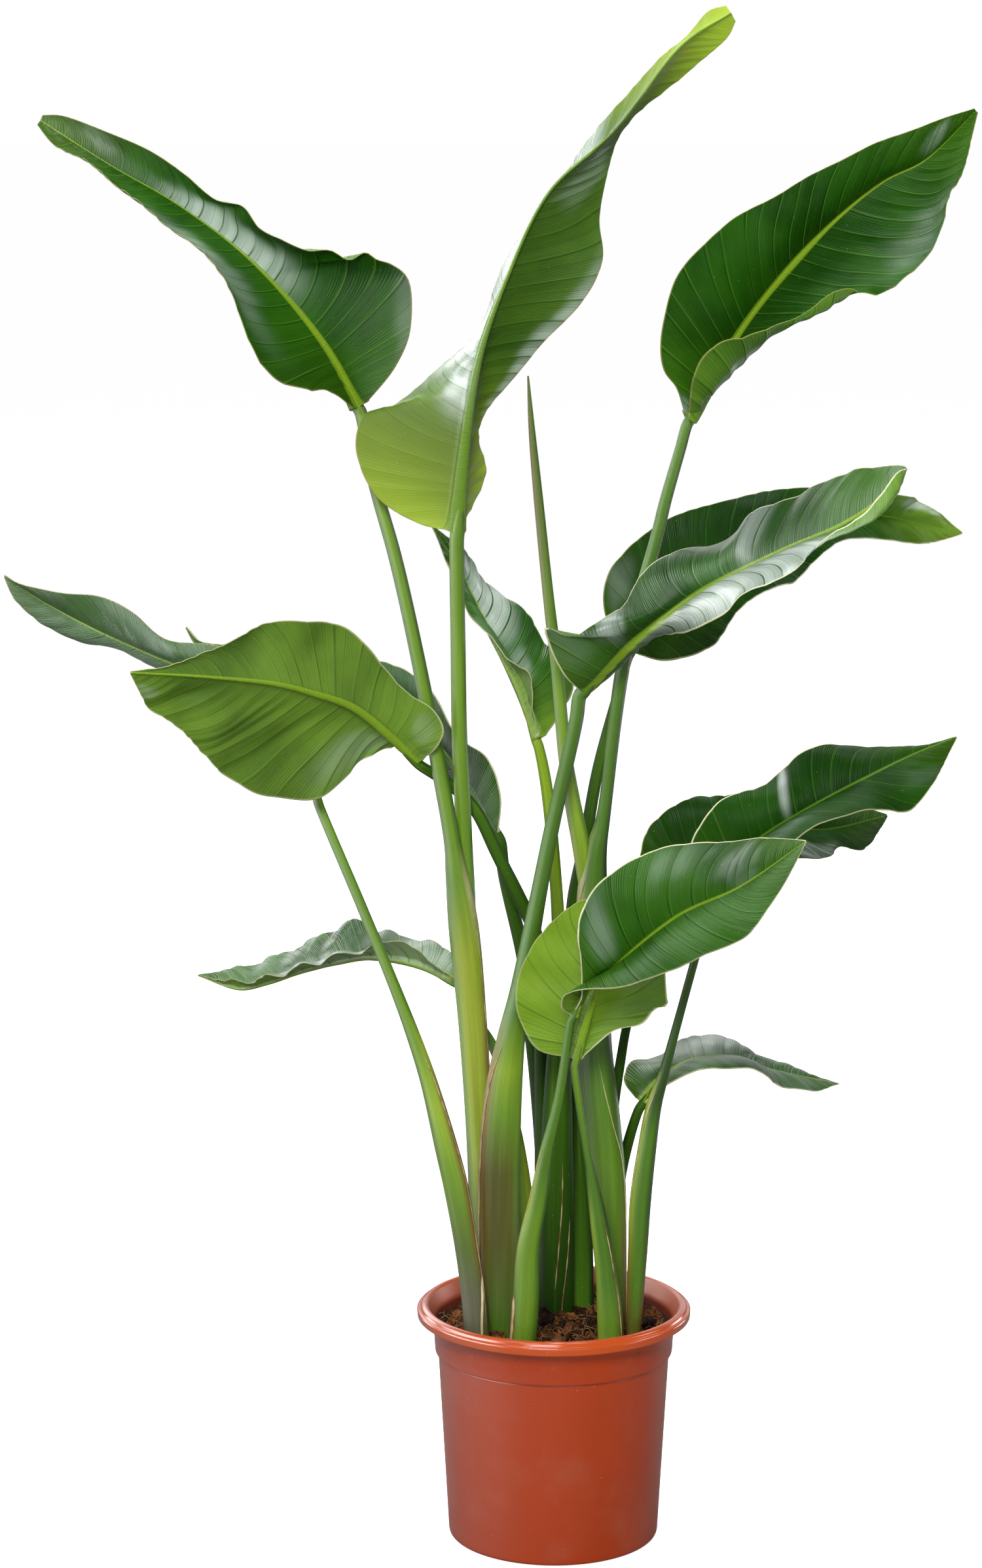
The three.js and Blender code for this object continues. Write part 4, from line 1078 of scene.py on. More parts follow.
    def build(self, material: Material) -> Object:
        """Makes the blade as one closed thin body.

        Args:
            material: the finish of both sides.

        Returns:
            The blade's object.
        """
        sheet, face = self._sheet(), self.plan.face
        points = self._pleated(sheet)
        rows, columns = points.shape[:2]
        normals = self._normals(points)
        ridge = np.sqrt(np.clip(1 - (sheet["rib"] / self.rib_swell) ** 2, 0, 1))
        raised = ridge * self.rib_height * self._rib_width(sheet["along"])
        groove = self.groove * np.exp(-(sheet["rib"] / 0.8) ** 2) * (1 - sheet["along"])
        half = self.thickness / 2
        sides = []
        for side in (1, -1):
            under = side != face
            lift = half + raised if under else half - groove
            sides.append(points + normals * (side * lift)[..., None])
        faces = grid_faces(rows, columns)
        count = rows * columns
        ring = self._outline(rows, columns)
        wall = np.stack([ring, np.roll(ring, -1), np.roll(ring, -1) + count, ring + count], -1)
        every = np.vstack([faces, faces[:, ::-1] + count, wall[:, ::-1]])
        values = {name: np.tile(value.ravel(), 2) for name, value in self._marks(sheet).items()}
        values["upper"] = np.repeat([1.0, 0.0] if face == 1 else [0.0, 1.0], count)
        vertices = np.vstack([s.reshape(-1, 3) for s in sides]) * MM
        piece = mesh_piece(f"{self.name}_blade_skin", vertices, every, values, material)
        carry(piece, "blade", f"{self.name}_blade")
        return piece

    @staticmethod
    def _outline(rows: int, columns: int) -> Array:
        """Point numbers once round the edge of a grid."""
        top = np.arange(columns)
        right = np.arange(1, rows) * columns + columns - 1
        bottom = (rows - 1) * columns + np.arange(columns - 2, -1, -1)
        left = np.arange(rows - 2, 0, -1) * columns
        return np.concatenate([top, right, bottom, left])

    def joint(self) -> tuple[Array, Array]:
        """Directions at the rib's base: out of the blade's under side, and along the rib."""
        sheet = self._sheet()
        normals = self._normals(sheet["points"])
        middle = sheet["points"].shape[1] // 2
        return normals[0, middle] * -self.plan.face, self.rib.direction(0.0)


@dataclass(frozen=True)
class Margin:
    """Free edge of a sheath, by heights and places across the stalk's front from -1 to 1."""

    dryness: Dryness
    width: float
    line: Sequence[Pair]


@dataclass(frozen=True)
class StalkLook:
    """Tones of a stalk at some heights, left to right across its front, and its margins."""

    tones: Sequence[tuple[float, Tone, Tone, Tone]]
    margins: Sequence[Margin] = ()
    shaded: bool = False


SHADED_STALK = StalkLook([(200, DEEP, GREEN, DEEP), (450, DEEP, DEEP, DEEP),
                          (700, DEEP, GREEN, DEEP)], shaded=True)
STALK_LOOKS = {
    "leaf_01": StalkLook(
        [(190, FRESH, LIME, DUSK), (260, FRESH, LIME, ROSE), (340, FRESH, YELLOW, ROSE),
         (430, FRESH, YELLOW, ROSE), (520, FRESH, YELLOW, LIME), (585, GREEN, FRESH, CREAM),
         (620, GREEN, FRESH, GREEN), (900, GREEN, FRESH, DEEP)],
        [Margin(Dryness.ROSY, 1.4, [(585, 0.66), (560, 0.78), (520, 0.86), (440, 0.92), (370, 0.94)])]),
    "leaf_02": StalkLook([(500, FRESH, FRESH, GREEN), (860, FRESH, FRESH, GREEN)]),
    "leaf_03": StalkLook(
        [(190, FRESH, GREEN, BROWN), (260, FRESH, FRESH, BROWN), (340, GREEN, FRESH, GREEN),
         (430, DEEP, GREEN, DEEP), (540, YELLOW, FRESH, DEEP), (590, CREAM, GREEN, DEEP),
         (640, GREEN, GREEN, DEEP), (950, GREEN, GREEN, DEEP)],
        [Margin(Dryness.ROSY, 1.4, [(597, -0.45), (570, -0.8), (535, -0.93), (500, -0.96)]),
         Margin(Dryness.PALE, 1.6, [(430, 0.2), (402, 0.36), (372, 0.6), (346, 0.84), (300, 0.93),
                                    (250, 0.95), (192, 0.9)])]),
    "leaf_04": StalkLook(
        [(190, DUSK, GREEN, BROWN), (225, BROWN, GREY, DUSK), (280, BROWN, DUSK, GREY),
         (340, BROWN, DUSK, GREEN), (390, ROSE, FRESH, FRESH), (430, ROSE, LIME, FRESH),
         (480, GREEN, GREEN, GREEN), (720, GREEN, GREEN, DEEP)],
        [Margin(Dryness.ROSY, 1.8, [(452, -0.5), (432, -0.72), (400, -0.86), (340, -0.93), (270, -0.95),
                                    (195, -0.9)])]),
    "leaf_05": SHADED_STALK,
    "leaf_06": SHADED_STALK,
    "leaf_07": StalkLook(
        [(190, ASH, ASH, DUSK), (232, ASH, ASH, DUSK), (275, GREY, GREY, ROSE),
         (330, FRESH, FRESH, ROSE), (400, GREEN, LIME, ROSE), (450, GREEN, FRESH, YELLOW),
         (480, GREEN, FRESH, GREEN), (620, GREEN, FRESH, GREEN)],
        [Margin(Dryness.ROSY, 1.6, [(449, 0.42), (425, 0.68), (380, 0.84), (330, 0.9), (282, 0.93),
                                    (240, 0.9), (205, 0.8)]),
         Margin(Dryness.PALE, 2.4, [(248, 0.86), (232, 0.72), (212, 0.5), (196, 0.4)])]),
    "leaf_08": SHADED_STALK,
    "leaf_09": StalkLook([(200, GREEN, FRESH, LIME), (340, GREEN, LIME, LIME),
                          (400, GREEN, GREEN, GREEN)]),
    "leaf_10": StalkLook(
        [(190, DEEP, DEEP, DEEP), (440, DEEP, GREEN, DEEP), (520, FRESH, LIME, FRESH),
         (680, LIME, LIME, FRESH)],
        [Margin(Dryness.BROWN, 1.5, [(330, 0.35), (295, 0.3), (255, 0.12), (215, -0.1)]),
         Margin(Dryness.BROWN, 1.5, [(280, 0.75), (240, 0.6), (205, 0.35), (192, 0.3)])],
        shaded=True),
    "leaf_11": StalkLook(
        [(190, BROWN, DUSK, BROWN), (240, ROSE, GREEN, DUSK), (300, YELLOW, GREEN, DEEP),
         (370, LIME, GREEN, DEEP), (405, YELLOW, DEEP, DEEP), (430, DEEP, DEEP, DEEP),
         (550, DEEP, GREEN, DEEP)],
        [Margin(Dryness.PALE, 1.2, [(410, -0.4), (385, -0.72), (340, -0.88), (290, -0.93)])]),
    "leaf_12": SHADED_STALK,
    "leaf_13": StalkLook(
        [(190, BROWN, FRESH, GREEN), (230, GREEN, FRESH, GREEN), (300, LIME, FRESH, GREEN),
         (350, YELLOW, GREEN, GREEN), (380, GREEN, GREEN, GREEN), (480, GREEN, GREEN, DEEP)],
        [Margin(Dryness.BROWN, 4.4, [(238, -0.9), (222, -0.86), (206, -0.84), (190, -0.86)]),
         Margin(Dryness.PALE, 1.0, [(372, -0.7), (340, -0.88), (300, -0.92)])]),
    "leaf_14": StalkLook(
        [(190, LIME, FRESH, BROWN), (240, LIME, GREEN, GREEN), (300, LIME, GREEN, DEEP),
         (350, DEEP, GREEN, DEEP), (440, GREEN, FRESH, GREEN)],
        [Margin(Dryness.BROWN, 2.2, [(306, 0.5), (282, 0.66), (255, 0.74), (225, 0.8), (192, 0.82)])]),
    "leaf_15": SHADED_STALK,
    "new_leaf": StalkLook([(550, YELLOW, LIME, FRESH), (760, FRESH, FRESH, GREEN),
                           (900, ROSE, GREY, GREEN), (1000, ROSE, GREY, GREY)]),
}


@dataclass
class Stalk:
    """A stalk of oval section, with a sheath round its foot."""

    name: str
    points: Points
    look: StalkLook
    blade: Blade | None = None
    sides: int = 28
    step: float = 3.0
    neck_drop: float = 0.72
    neck_length: float = 5.0
    free_length: float = 24.0
    readings: int = 400
    sunk: Sequence[Triple] = ((12, 0.75, 0.72), (24, 0.55, 0.52),
                                                  (38, 0.38, 0.34))

    def __post_init__(self) -> None:
        """Lays the stalk's line, on into the rib of its blade if it has one."""
        self.line = Path(self._joined() if self.blade else self.points)

    def _joined(self) -> list[tuple[float, ...]]:
        """The stalk's points, led under the start of the rib and on into it.

        Returns:
            Rows of x, y, z, half width and half depth.
        """
        half_width, half_depth = self.points[-1][3:]
        under, along = self.blade.joint()
        end = np.asarray(self.blade.plan.rib[0], float) + under * half_depth * self.neck_drop
        before = end - along * self.neck_length
        kept = [p for p in self.points if np.linalg.norm(np.subtract(p[:3], end)) > self.free_length]
        kept += [(*before, half_width, half_depth), (*end, half_width, half_depth)]
        for way, drop, size in self.sunk:
            at = self.blade.rib.at(way / self.blade.rib.length) + under * half_depth * drop
            kept.append((*at, half_width * size, half_depth * size))
        return kept

    def _frame(self, share: Array) -> tuple[Array, ...]:
        """Rows of the line with the directions across it and towards its back."""
        rows, along = self.line.at(share), self.line.direction(share)
        depth = unit(np.array([0.0, 1.0, 0.0]) - along * along[:, 1:2])
        return rows, np.cross(depth, along), depth

    def tone_at(self, height: Array, place: Array) -> Array:
        """Colours of the stalk's surface.

        Args:
            height: millimetres above the floor.
            place: from -1 at the left to 1 at the right.

        Returns:
            Linear colours with alpha.
        """
        levels = [row[0] for row in self.look.tones]
        columns = []
        for index in (1, 2, 3):
            colours = np.array([linear(row[index].value) for row in self.look.tones])
            columns.append(np.stack([np.interp(height, levels, c) for c in colours.T], -1))
        share = np.clip(place, -1, 1)[..., None]
        away = np.where(share < 0, columns[0], columns[2])
        return columns[1] + (away - columns[1]) * smooth(0.35, 0.98, np.abs(share))

    def build(self, material: Material) -> Object:
        """Makes the stalk as one closed body.

        Args:
            material: the finish, which reads the tones stored here.

        Returns:
            The stalk's object.
        """
        count = max(24, round(self.line.length / self.step))
        share = np.linspace(0, 1, count + 1)
        rows, across, depth = self._frame(share)
        angle = round_angles(self.sides)[None, :, None]
        ring = (rows[:, None, :3] + across[:, None] * rows[:, None, 3:4] * np.cos(angle)
                + depth[:, None] * rows[:, None, 4:5] * np.sin(angle))
        foot, tip = np.arange(self.sides)[::-1], np.arange(self.sides) + count * self.sides
        faces = [*grid_faces(count + 1, self.sides, closed=True), foot, tip]
        place = np.repeat(np.cos(angle[..., 0]), count + 1, 0)
        girth = np.mean(rows[:, 3:5]) * angle[..., 0]
        values = {
            "tone": self.tone_at(ring[..., 2], place).reshape(-1, 4),
            "along": np.repeat(share * self.line.length * MM, self.sides),
            "round": np.repeat(girth * MM, count + 1, 0).ravel()}
        piece = mesh_piece(f"{self.name}_stem" if self.blade else "rolled_leaf",
                           ring.reshape(-1, 3) * MM, faces, values, material)
        carry(piece, "stalk", f"{self.name}_stalk" if self.blade else self.name)
        return piece

    def margin_line(self, margin: Margin, lift: float = 0.25) -> list[Array]:
        """Points of a sheath's free edge on the front of the stalk, in metres.

        Args:
            margin: the edge, by heights and places across the front.
            lift: how far it stands off the stalk, in millimetres.

        Returns:
            The points, from its tip down to its foot.
        """
        share = np.linspace(0, 1, self.readings)
        heights = self.line.at(share)[:, 2]
        smooth_line = Path([(z, place, 0.0) for z, place in margin.line], 8).line
        found = np.interp(smooth_line[:, 0], heights, share)
        rows, across, depth = self._frame(found)
        place = np.clip(smooth_line[:, 1:2], -0.99, 0.99)
        width, back = rows[:, 3:4] + lift, rows[:, 4:5] + lift
        return list((rows[:, :3] + across * width * place
                     - depth * back * np.sqrt(1 - place ** 2)) * MM)


def grown(base: Object, tree: NodeTree, name: str, values: dict[str, object]) -> Object:
    """Runs a tree on an object and keeps the result as a plain mesh.

    Args:
        base: what the tree works on; it is removed afterwards.
        tree: the Geometry Nodes tree.
        name: the piece's name.
        values: the tree's inputs by name.

    Returns:
        The new object, at the origin.
    """
    modifier = base.modifiers.new(name, "NODES")
    modifier.node_group = tree
    for item in tree.interface.items_tree:
        if item.in_out == "INPUT" and item.name in values:
            modifier[item.identifier] = values[item.name]
    shown = base.evaluated_get(bpy.context.evaluated_depsgraph_get())
    mesh = bpy.data.meshes.new_from_object(shown)
    mesh.name = name
    base.modifiers.remove(modifier)
    bpy.data.objects.remove(base)
    return placed(name, mesh)


class Growing(Group):
    """A Geometry Nodes tree that turns a geometry into a dressed piece."""

    def __init__(self, name: str, inputs: dict[str, tuple[str, object]]) -> None:
        """Starts the tree with a geometry, the given inputs and a material."""
        super().__init__(name, "Geometry", {"Geometry": ("Geometry", None), **inputs,
                                            "Material": ("Material", None)},
                         {"Geometry": "Geometry"})

    def made(self, kind: str, **inputs: object) -> Socket:
        """Result of a Geometry node, with underscores for the spaces in its inputs' names."""
        named = {name.replace("_", " "): value for name, value in inputs.items()}
        return self.node(f"GeometryNode{kind}", named).outputs[0]

    def random(self, kind: str, low: object, high: object, seed: int) -> Socket:
        """A random number or vector between two limits."""
        node = self.node("FunctionNodeRandomValue", data_type=kind)
        first, output = (0, 0) if kind == "FLOAT_VECTOR" else (2, 1)
        self.dress(node, {first: low, first + 1: high, "Seed": seed})
        return node.outputs[output]

    def strewn(self, instance: Socket, turn: Socket, size: Socket) -> Socket:
        """An instance at each seeded point at random over the given patch."""
        points = self.made("DistributePointsOnFaces", Mesh=self.given["Geometry"],
                           Density=self.given["Density"], Seed=self.given["Seed"])
        return self.made("InstanceOnPoints", Points=points, Instance=instance, Rotation=turn,
                         Scale=size)

    def shaken(self, shape: Socket, noise: dict[str, object],
               middle: Triple, amount: Socket) -> Socket:
        """A shape whose points are pushed about by noise.

        Args:
            shape: what is pushed, made real first.
            noise: inputs of the noise texture.
            middle: the noise at which a point stays where it is.
            amount: how far the points go.

        Returns:
            The pushed shape.
        """
        colour = self.node("ShaderNodeTexNoise", noise).outputs["Color"]
        push = self.node("ShaderNodeVectorMath", {0: colour, 1: middle}, operation="SUBTRACT")
        push = self.node("ShaderNodeVectorMath", {0: push.outputs[0], "Scale": amount},
                         operation="SCALE")
        return self.made("SetPosition", Geometry=self.made("RealizeInstances", Geometry=shape),
                         Offset=push.outputs[0])

    def finished(self, shape: Socket) -> NodeTree:
        """Ends the tree with its instances made real and its material set."""
        solid = self.made("RealizeInstances", Geometry=shape)
        self.feed(self.result["Geometry"], self.made("SetMaterial", Geometry=solid,
                                                     Material=self.given["Material"]))
        return self.tree


class SheathMargins:
    """The dry free edges of all sheaths of one kind, as ribbons along the stalks."""

    def __init__(self, sides: int = 8, flatness: float = 0.45, tip: float = 0.08) -> None:
        """Builds the tree that sweeps a flat oval along every line.

        Args:
            sides: how many sides the oval has.
            flatness: its thickness as a share of its width.
            tip: the width left at the ends of a ribbon, as a share of its full width.
        """
        self.tip = tip
        w = Growing("Sheath margin", {})
        oval = w.made("CurvePrimitiveCircle", Resolution=sides, Radius=1.0)
        flat = w.made("Transform", Geometry=oval, Scale=(1.0, flatness, 1.0))
        swept = w.made("CurveToMesh", Curve=w.given["Geometry"], Profile_Curve=flat,
                       Scale=w.made("InputRadius"), Fill_Caps=True)
        self.tree = w.finished(w.made("SetShadeSmooth", Geometry=swept))

    def build(self, name: str, lines: Sequence[tuple[list[Array], float]],
              material: Material) -> Object:
        """Makes the ribbons.

        Args:
            name: the piece's name.
            lines: points in metres and full width in millimetres of each ribbon.
            material: its finish.

        Returns:
            The ribbons as one object.
        """
        curve = bpy.data.curves.new(name, "CURVE")
        curve.dimensions = "3D"
        for points, width in lines:
            spline = curve.splines.new("POLY")
            spline.points.add(len(points) - 1)
            for index, (point, at) in enumerate(zip(points, spline.points)):
                share = index / (len(points) - 1)
                at.co = (*point, 1.0)
                swell = min(1.0, 6 * share, 8 * (1.02 - share))
                at.radius = width / 2 * MM * max(self.tip, swell)
        piece = grown(placed(name, curve), self.tree, name, {"Material": material})
        carry(piece, "stalk")
        return piece


@dataclass(frozen=True)
class DryFinish:
    """Papery dry tissue at the margin of a sheath."""

    name: str
    dryness: Dryness

    def material(self) -> Material:
        """Makes the finish.

        Returns:
            The material.
        """
        material, w, surface = new_material(self.name)
        share = w.noise(w.scaled(w.object_place(), (400.0, 400.0, 60.0)), 1.0, 3.0)
        w.dress(surface, {
            "Base Color": w.blend(w.step(share, 0.35, 0.65), *self.dryness.value),
            "Roughness": w.step(share, 0.3, 0.7, 0.55, 0.8), "Normal": w.bump(share, 0.6, 0.0006)})
        return material


@dataclass
class Pot:
    """Round nursery pot: a tapered wall, a step below a collar and a flanged rim."""

    height: float = 210.0
    wall: float = 1.6
    base_radius: float = 92.4
    step_height: float = 167.0
    step_radius: float = 101.6
    collar_radius: float = 104.2
    neck_radius: float = 106.0
    neck_height: float = 199.0
    lip_radius: float = 120.0
    mouth_radius: float = 110.0
    floor: float = 2.6
    sides: int = 160
    profile: list[Pair] = field(init=False)

    def __post_init__(self) -> None:
        """Draws the section of the wall from the middle of the floor, out, up and back in."""
        s, n, h = self.step_height, self.neck_height, self.height
        lip, mouth, w = self.lip_radius, self.mouth_radius, self.wall
        corners: list[Triple] = [
            (0, 0, 0), (self.base_radius - 8, 0, 1.0), (self.base_radius - 6.2, 0.9, 0.6),
            (self.base_radius - 0.4, 1.2, 3.6), (self.step_radius - 0.3, s - 1.6, 0.4),
            (self.step_radius - 0.7, s, 0.2), (self.collar_radius - 0.3, s + 0.3, 0.5),
            (self.collar_radius, s + 1.8, 0.6), (self.neck_radius, n, 1.2),
            (lip - 0.5, n - 0.4, 0.9), (lip, n + 6.0, 1.1),
            (lip - 1.6, n + 7.2, 0.6), (lip - 3.0, n + 7.0, 0.5), (lip - 3.8, h - 1.8, 1.0),
            (mouth + 2.4, h + 0.1, 1.6), (mouth, h - 1.6, 1.5),
            (self.neck_radius - w, n - 3, 3.0), (self.collar_radius - w, s + w + 2, 0.8),
            (self.step_radius - w, s + w, 0.8), (self.base_radius - w, self.floor, 2.0),
            (0, self.floor, 0)]
        self.profile = rounded(corners)

    def inner_radius(self, z: float) -> float:
        """Inner radius of the wall at a height."""
        low, high = (self.base_radius, self.step_radius), (self.collar_radius, self.neck_radius)
        if z < self.step_height:
            return float(np.interp(z, [0, self.step_height], low)) - self.wall
        return float(np.interp(z, [self.step_height, self.neck_height], high)) - self.wall

    def build(self, material: Material) -> Object:
        """Turns the section into the pot.

        Args:
            material: its finish.

        Returns:
            The pot's object.
        """
        inner = np.asarray(self.profile[1:-1])
        rings = circled(inner[:, :1], round_angles(self.sides), inner[:, 1:2])
        vertices = np.vstack([rings, [(0, 0, self.profile[0][1]), (0, 0, self.profile[-1][1])]])
        faces = [list(f) for f in grid_faces(len(inner), self.sides, closed=True)]
        last, turn = (len(inner) - 1) * self.sides, range(self.sides)
        faces += [[(i + 1) % self.sides, i, len(rings)] for i in turn]
        faces += [[last + i, last + (i + 1) % self.sides, len(rings) + 1] for i in turn]
        satin = smooth(self.neck_height - 2, self.neck_height - 12, vertices[:, 2])
        mouth = self.profile.index(max(self.profile, key=lambda point: point[1]))
        ring = np.repeat(np.arange(len(inner)), self.sides)
        inside = np.append(np.where(ring > mouth, 1.0, 0.0), [0.0, 1.0])
        piece = mesh_piece("nursery_pot", vertices * MM, faces,
                           {"satin": satin, "inside": inside}, material)
        carry(piece, "pot", "pot")
        return piece


def rounded(corners: Sequence[Triple], steps: int = 6) -> list[Pair]:
    """Section with each corner rounded.

    Args:
        corners: radius, height and the rounding of each corner.
        steps: how many pieces a rounded corner has.

    Returns:
        The section's points.
    """
    out: list[Pair] = []
    for index, (r, z, bend) in enumerate(corners):
        if not bend:
            out.append((r, z))
            continue
        here = np.array([r, z])
        ends = []
        for other in (corners[index - 1], corners[index + 1]):
            way = np.array(other[:2]) - here
            length = np.linalg.norm(way)
            ends.append(here + way / length * min(bend, 0.48 * length))
        for t in np.linspace(0, 1, steps + 1):
            at = (1 - t) ** 2 * ends[0] + 2 * t * (1 - t) * here + t * t * ends[1]
            out.append((float(at[0]), float(at[1])))
    return out


@dataclass
class Soil:
    """Coarse bark and coir potting soil, lumpy on top, in the pot."""

    pot: Pot
    level: float = 188.0
    relief: float = 4.0
    gap: float = 0.5
    hole: float = 0.01
    rings: int = 60
    sides: int = 150

    def _height(self, radius: Array, angle: Array) -> Array:
        """Height of the soil's top, uneven in broad and in fine waves."""
        x, y = radius * np.cos(angle), radius * np.sin(angle)
        broad = np.sin(x * 0.08 + 1.3) * np.cos(y * 0.09 - 0.4)
        fine = np.sin(x * 0.31 + 2.0 * np.sin(y * 0.17)) * np.sin(y * 0.27 + 1.1 * np.sin(x * 0.21))
        return self.level + self.relief * (0.5 * broad + 0.4 * fine)

    def _top(self, inset: float, hole: float, rings: int, angle: Array) -> Array:
        """Points of the soil's top, in rings from near the wall to the middle.

        Args:
            inset: how far the first ring stays off the wall.
            hole: radius of the last ring, as a share of the first.
            rings: how many rings there are.
            angle: places round each ring.

        Returns:
            The points, ring by ring.
        """
        reach = self.pot.inner_radius(self.level) - inset
        radius = reach * np.linspace(1, hole, rings)[:, None]
        return circled(radius, angle, self._height(radius, angle))

    def ground(self, material: Material) -> Object:
        """Makes the body of the soil, closed underneath.

        Args:
            material: its finish.

        Returns:
            The soil's object.
        """
        pot, angle = self.pot, round_angles(self.sides)
        levels = [(pot.floor, pot.floor + self.gap), (pot.step_height - 1,) * 2,
                  (pot.step_height + 6,) * 2, (self.level - 8,) * 2]
        wall = [circled(pot.inner_radius(fit) - self.gap, angle, z) for fit, z in levels]
        points = np.vstack([*wall, self._top(self.gap, self.hole, self.rings, angle)])
        rows = len(levels) + self.rings
        faces = [list(f) for f in grid_faces(rows, self.sides, closed=True)]
        faces.append(list(range(self.sides))[::-1])
        faces.append([(rows - 1) * self.sides + i for i in range(self.sides)])
        piece = mesh_piece("potting_soil", points * MM, faces, {}, material)
        carry(piece, "soil", "soil")
        return piece

    def scatter_base(self, name: str, inset: float) -> Object:
        """Coarse patch of the soil's top that bits are scattered on.

        Args:
            name: the patch's name.
            inset: how far it stays off the wall, in millimetres.

        Returns:
            The patch as an object.
        """
        rings, sides, hole = 14, 48, 0.02
        top = self._top(inset, hole, rings, round_angles(sides))
        mesh = bpy.data.meshes.new(name)
        mesh.from_pydata((top * MM).tolist(), [], grid_faces(rings, sides, closed=True).tolist())
        return placed(name, mesh)


class SoilBits:
    """Geometry Nodes that strew lumps, chips and fibres over the soil."""

    dark: Colour = (26, 12, 4)

    def __init__(self) -> None:
        """Builds both trees."""
        self.lumps = self._lumps()
        self.fibres = self._fibres()

    @staticmethod
    def _lumps() -> NodeTree:
        """Rough lumps of any size, each roughened by noise and given a tint.

        Returns:
            The tree.
        """
        w = Growing("Bark lumps", {
            "Density": ("Float", 5000.0), "Seed": ("Int", 1), "Smallest": ("Vector", None),
            "Largest": ("Vector", None), "Facets": ("Int", 2), "Roughness": ("Float", 0.002),
            "Grain": ("Float", 120.0)})
        ball = w.made("MeshIcoSphere", Radius=1.0, Subdivisions=w.given["Facets"])
        turn = w.random("FLOAT_VECTOR", (-math.pi,) * 3, (math.pi,) * 3, 5)
        size = w.random("FLOAT_VECTOR", w.given["Smallest"], w.given["Largest"], 6)
        tinted = w.node("GeometryNodeStoreNamedAttribute", {
            "Geometry": w.strewn(ball, turn, size), "Name": "tint",
            "Value": w.random("FLOAT", 0.0, 1.0, 7)}, domain="INSTANCE")
        rough = w.shaken(tinted.outputs[0], {"Scale": w.given["Grain"], "Detail": 4.0},
                         (0.5, 0.5, 0.5), w.given["Roughness"])
        return w.finished(w.made("SetShadeSmooth", Geometry=rough))

    @staticmethod
    def _fibres() -> NodeTree:
        """Thin bent fibres that lie about at any angle.

        Returns:
            The tree.
        """
        w = Growing("Coir fibres", {
            "Density": ("Float", 5000.0), "Seed": ("Int", 1), "Length": ("Float", 0.02),
            "Radius": ("Float", 0.0003), "Curl": ("Float", 0.01)})
        strand = w.made("CurveQuadraticBezier", Resolution=8, Start=(-0.5, 0.0, 0.0),
                        Middle=(0.0, 0.35, 0.15), End=(0.5, 0.0, 0.05))
        turn = w.random("FLOAT_VECTOR", (-0.5, -0.5, -math.pi), (0.5, 0.5, math.pi), 8)
        size = w.times(w.given["Length"], w.random("FLOAT", 0.4, 1.3, 9))
        bent = w.shaken(w.strewn(strand, turn, size), {"Scale": 70.0, "Detail": 2.0},
                        (0.5, 0.5, 0.45), w.given["Curl"])
        ring = w.made("CurvePrimitiveCircle", Resolution=4, Radius=w.given["Radius"])
        return w.finished(w.made("CurveToMesh", Curve=bent, Profile_Curve=ring, Fill_Caps=True))

    def strew(self, soil: Soil) -> None:
        """Lays clods, chips and fibres on the soil.

        Args:
            soil: the soil that they lie on.
        """
        clods = BarkFinish("Coir clods", self.dark, (148, 92, 46), "tint").material()
        chips = BarkFinish("Bark chips", self.dark, (150, 90, 46), "tint").material()
        coir = BarkFinish("Coir fibre", (120, 78, 38), (190, 142, 84)).material()
        plans = (
            ("soil_clods", self.lumps, 15.0, clods, {
                "Density": 2300.0, "Seed": 3, "Smallest": (0.005, 0.004, 0.003),
                "Largest": (0.015, 0.010, 0.007), "Facets": 5, "Roughness": 0.016,
                "Grain": 105.0}),
            ("soil_chips", self.lumps, 7.0, chips, {
                "Density": 34000.0, "Seed": 11, "Smallest": (0.0012, 0.0008, 0.0005),
                "Largest": (0.0055, 0.0030, 0.0018), "Facets": 2, "Roughness": 0.0022,
                "Grain": 420.0}),
            ("soil_fibres", self.fibres, 9.0, coir, {
                "Density": 17000.0, "Seed": 21, "Length": 0.018, "Radius": 0.0003,
                "Curl": 0.02}),
        )
        for name, tree, inset, material, values in plans:
            base = soil.scatter_base(f"{name}_base", inset)
            piece = grown(base, tree, name, {**values, "Material": material})
            carry(piece, "soil")


class Growth(Enum):
    """How a blade has grown, with the colours that go with it."""

    GROWN = BladeFinish("Grown leaf")
    TALL = BladeFinish("Tall leaf", under=(46, 80, 12), under_light=(74, 110, 22),
                       pale=(190, 216, 66), margin=(176, 150, 90), rib=(110, 148, 44))
    MID = BladeFinish("Middle leaf", upper=(26, 68, 10), upper_light=(54, 106, 18),
                      under=(78, 110, 34), under_light=(112, 146, 46))
    YOUNG = BladeFinish("Young leaf", upper=(40, 88, 14), upper_light=(80, 130, 26),
                        under=(100, 138, 28), under_light=(130, 164, 42), glow=0.25)
    # Darker copy for blades at the back, with their shade painted into its colours.
    SHADED = BladeFinish("Shaded leaf", upper=(14, 44, 6), upper_light=(32, 76, 12),
                         under=(44, 78, 20), under_light=(66, 100, 28), rib=(92, 132, 36),
                         veins=0.32)


@dataclass(frozen=True)
class Fold:
    """A soft fold of one half along a side vein: where, how wide and how high in millimetres."""

    half: int
    at: float
    width: float
    lift: float


@dataclass(frozen=True)
class SheenPatch:
    """A patch of painted silver sheen on one half, which also gets a waxy coat.

    It lies at a share of the way along the rib and a share of the way out to the rim, and fades
    away at the given distances along and across.
    """

    half: int
    at: float
    out: float
    length: float
    width: float
    wax: float


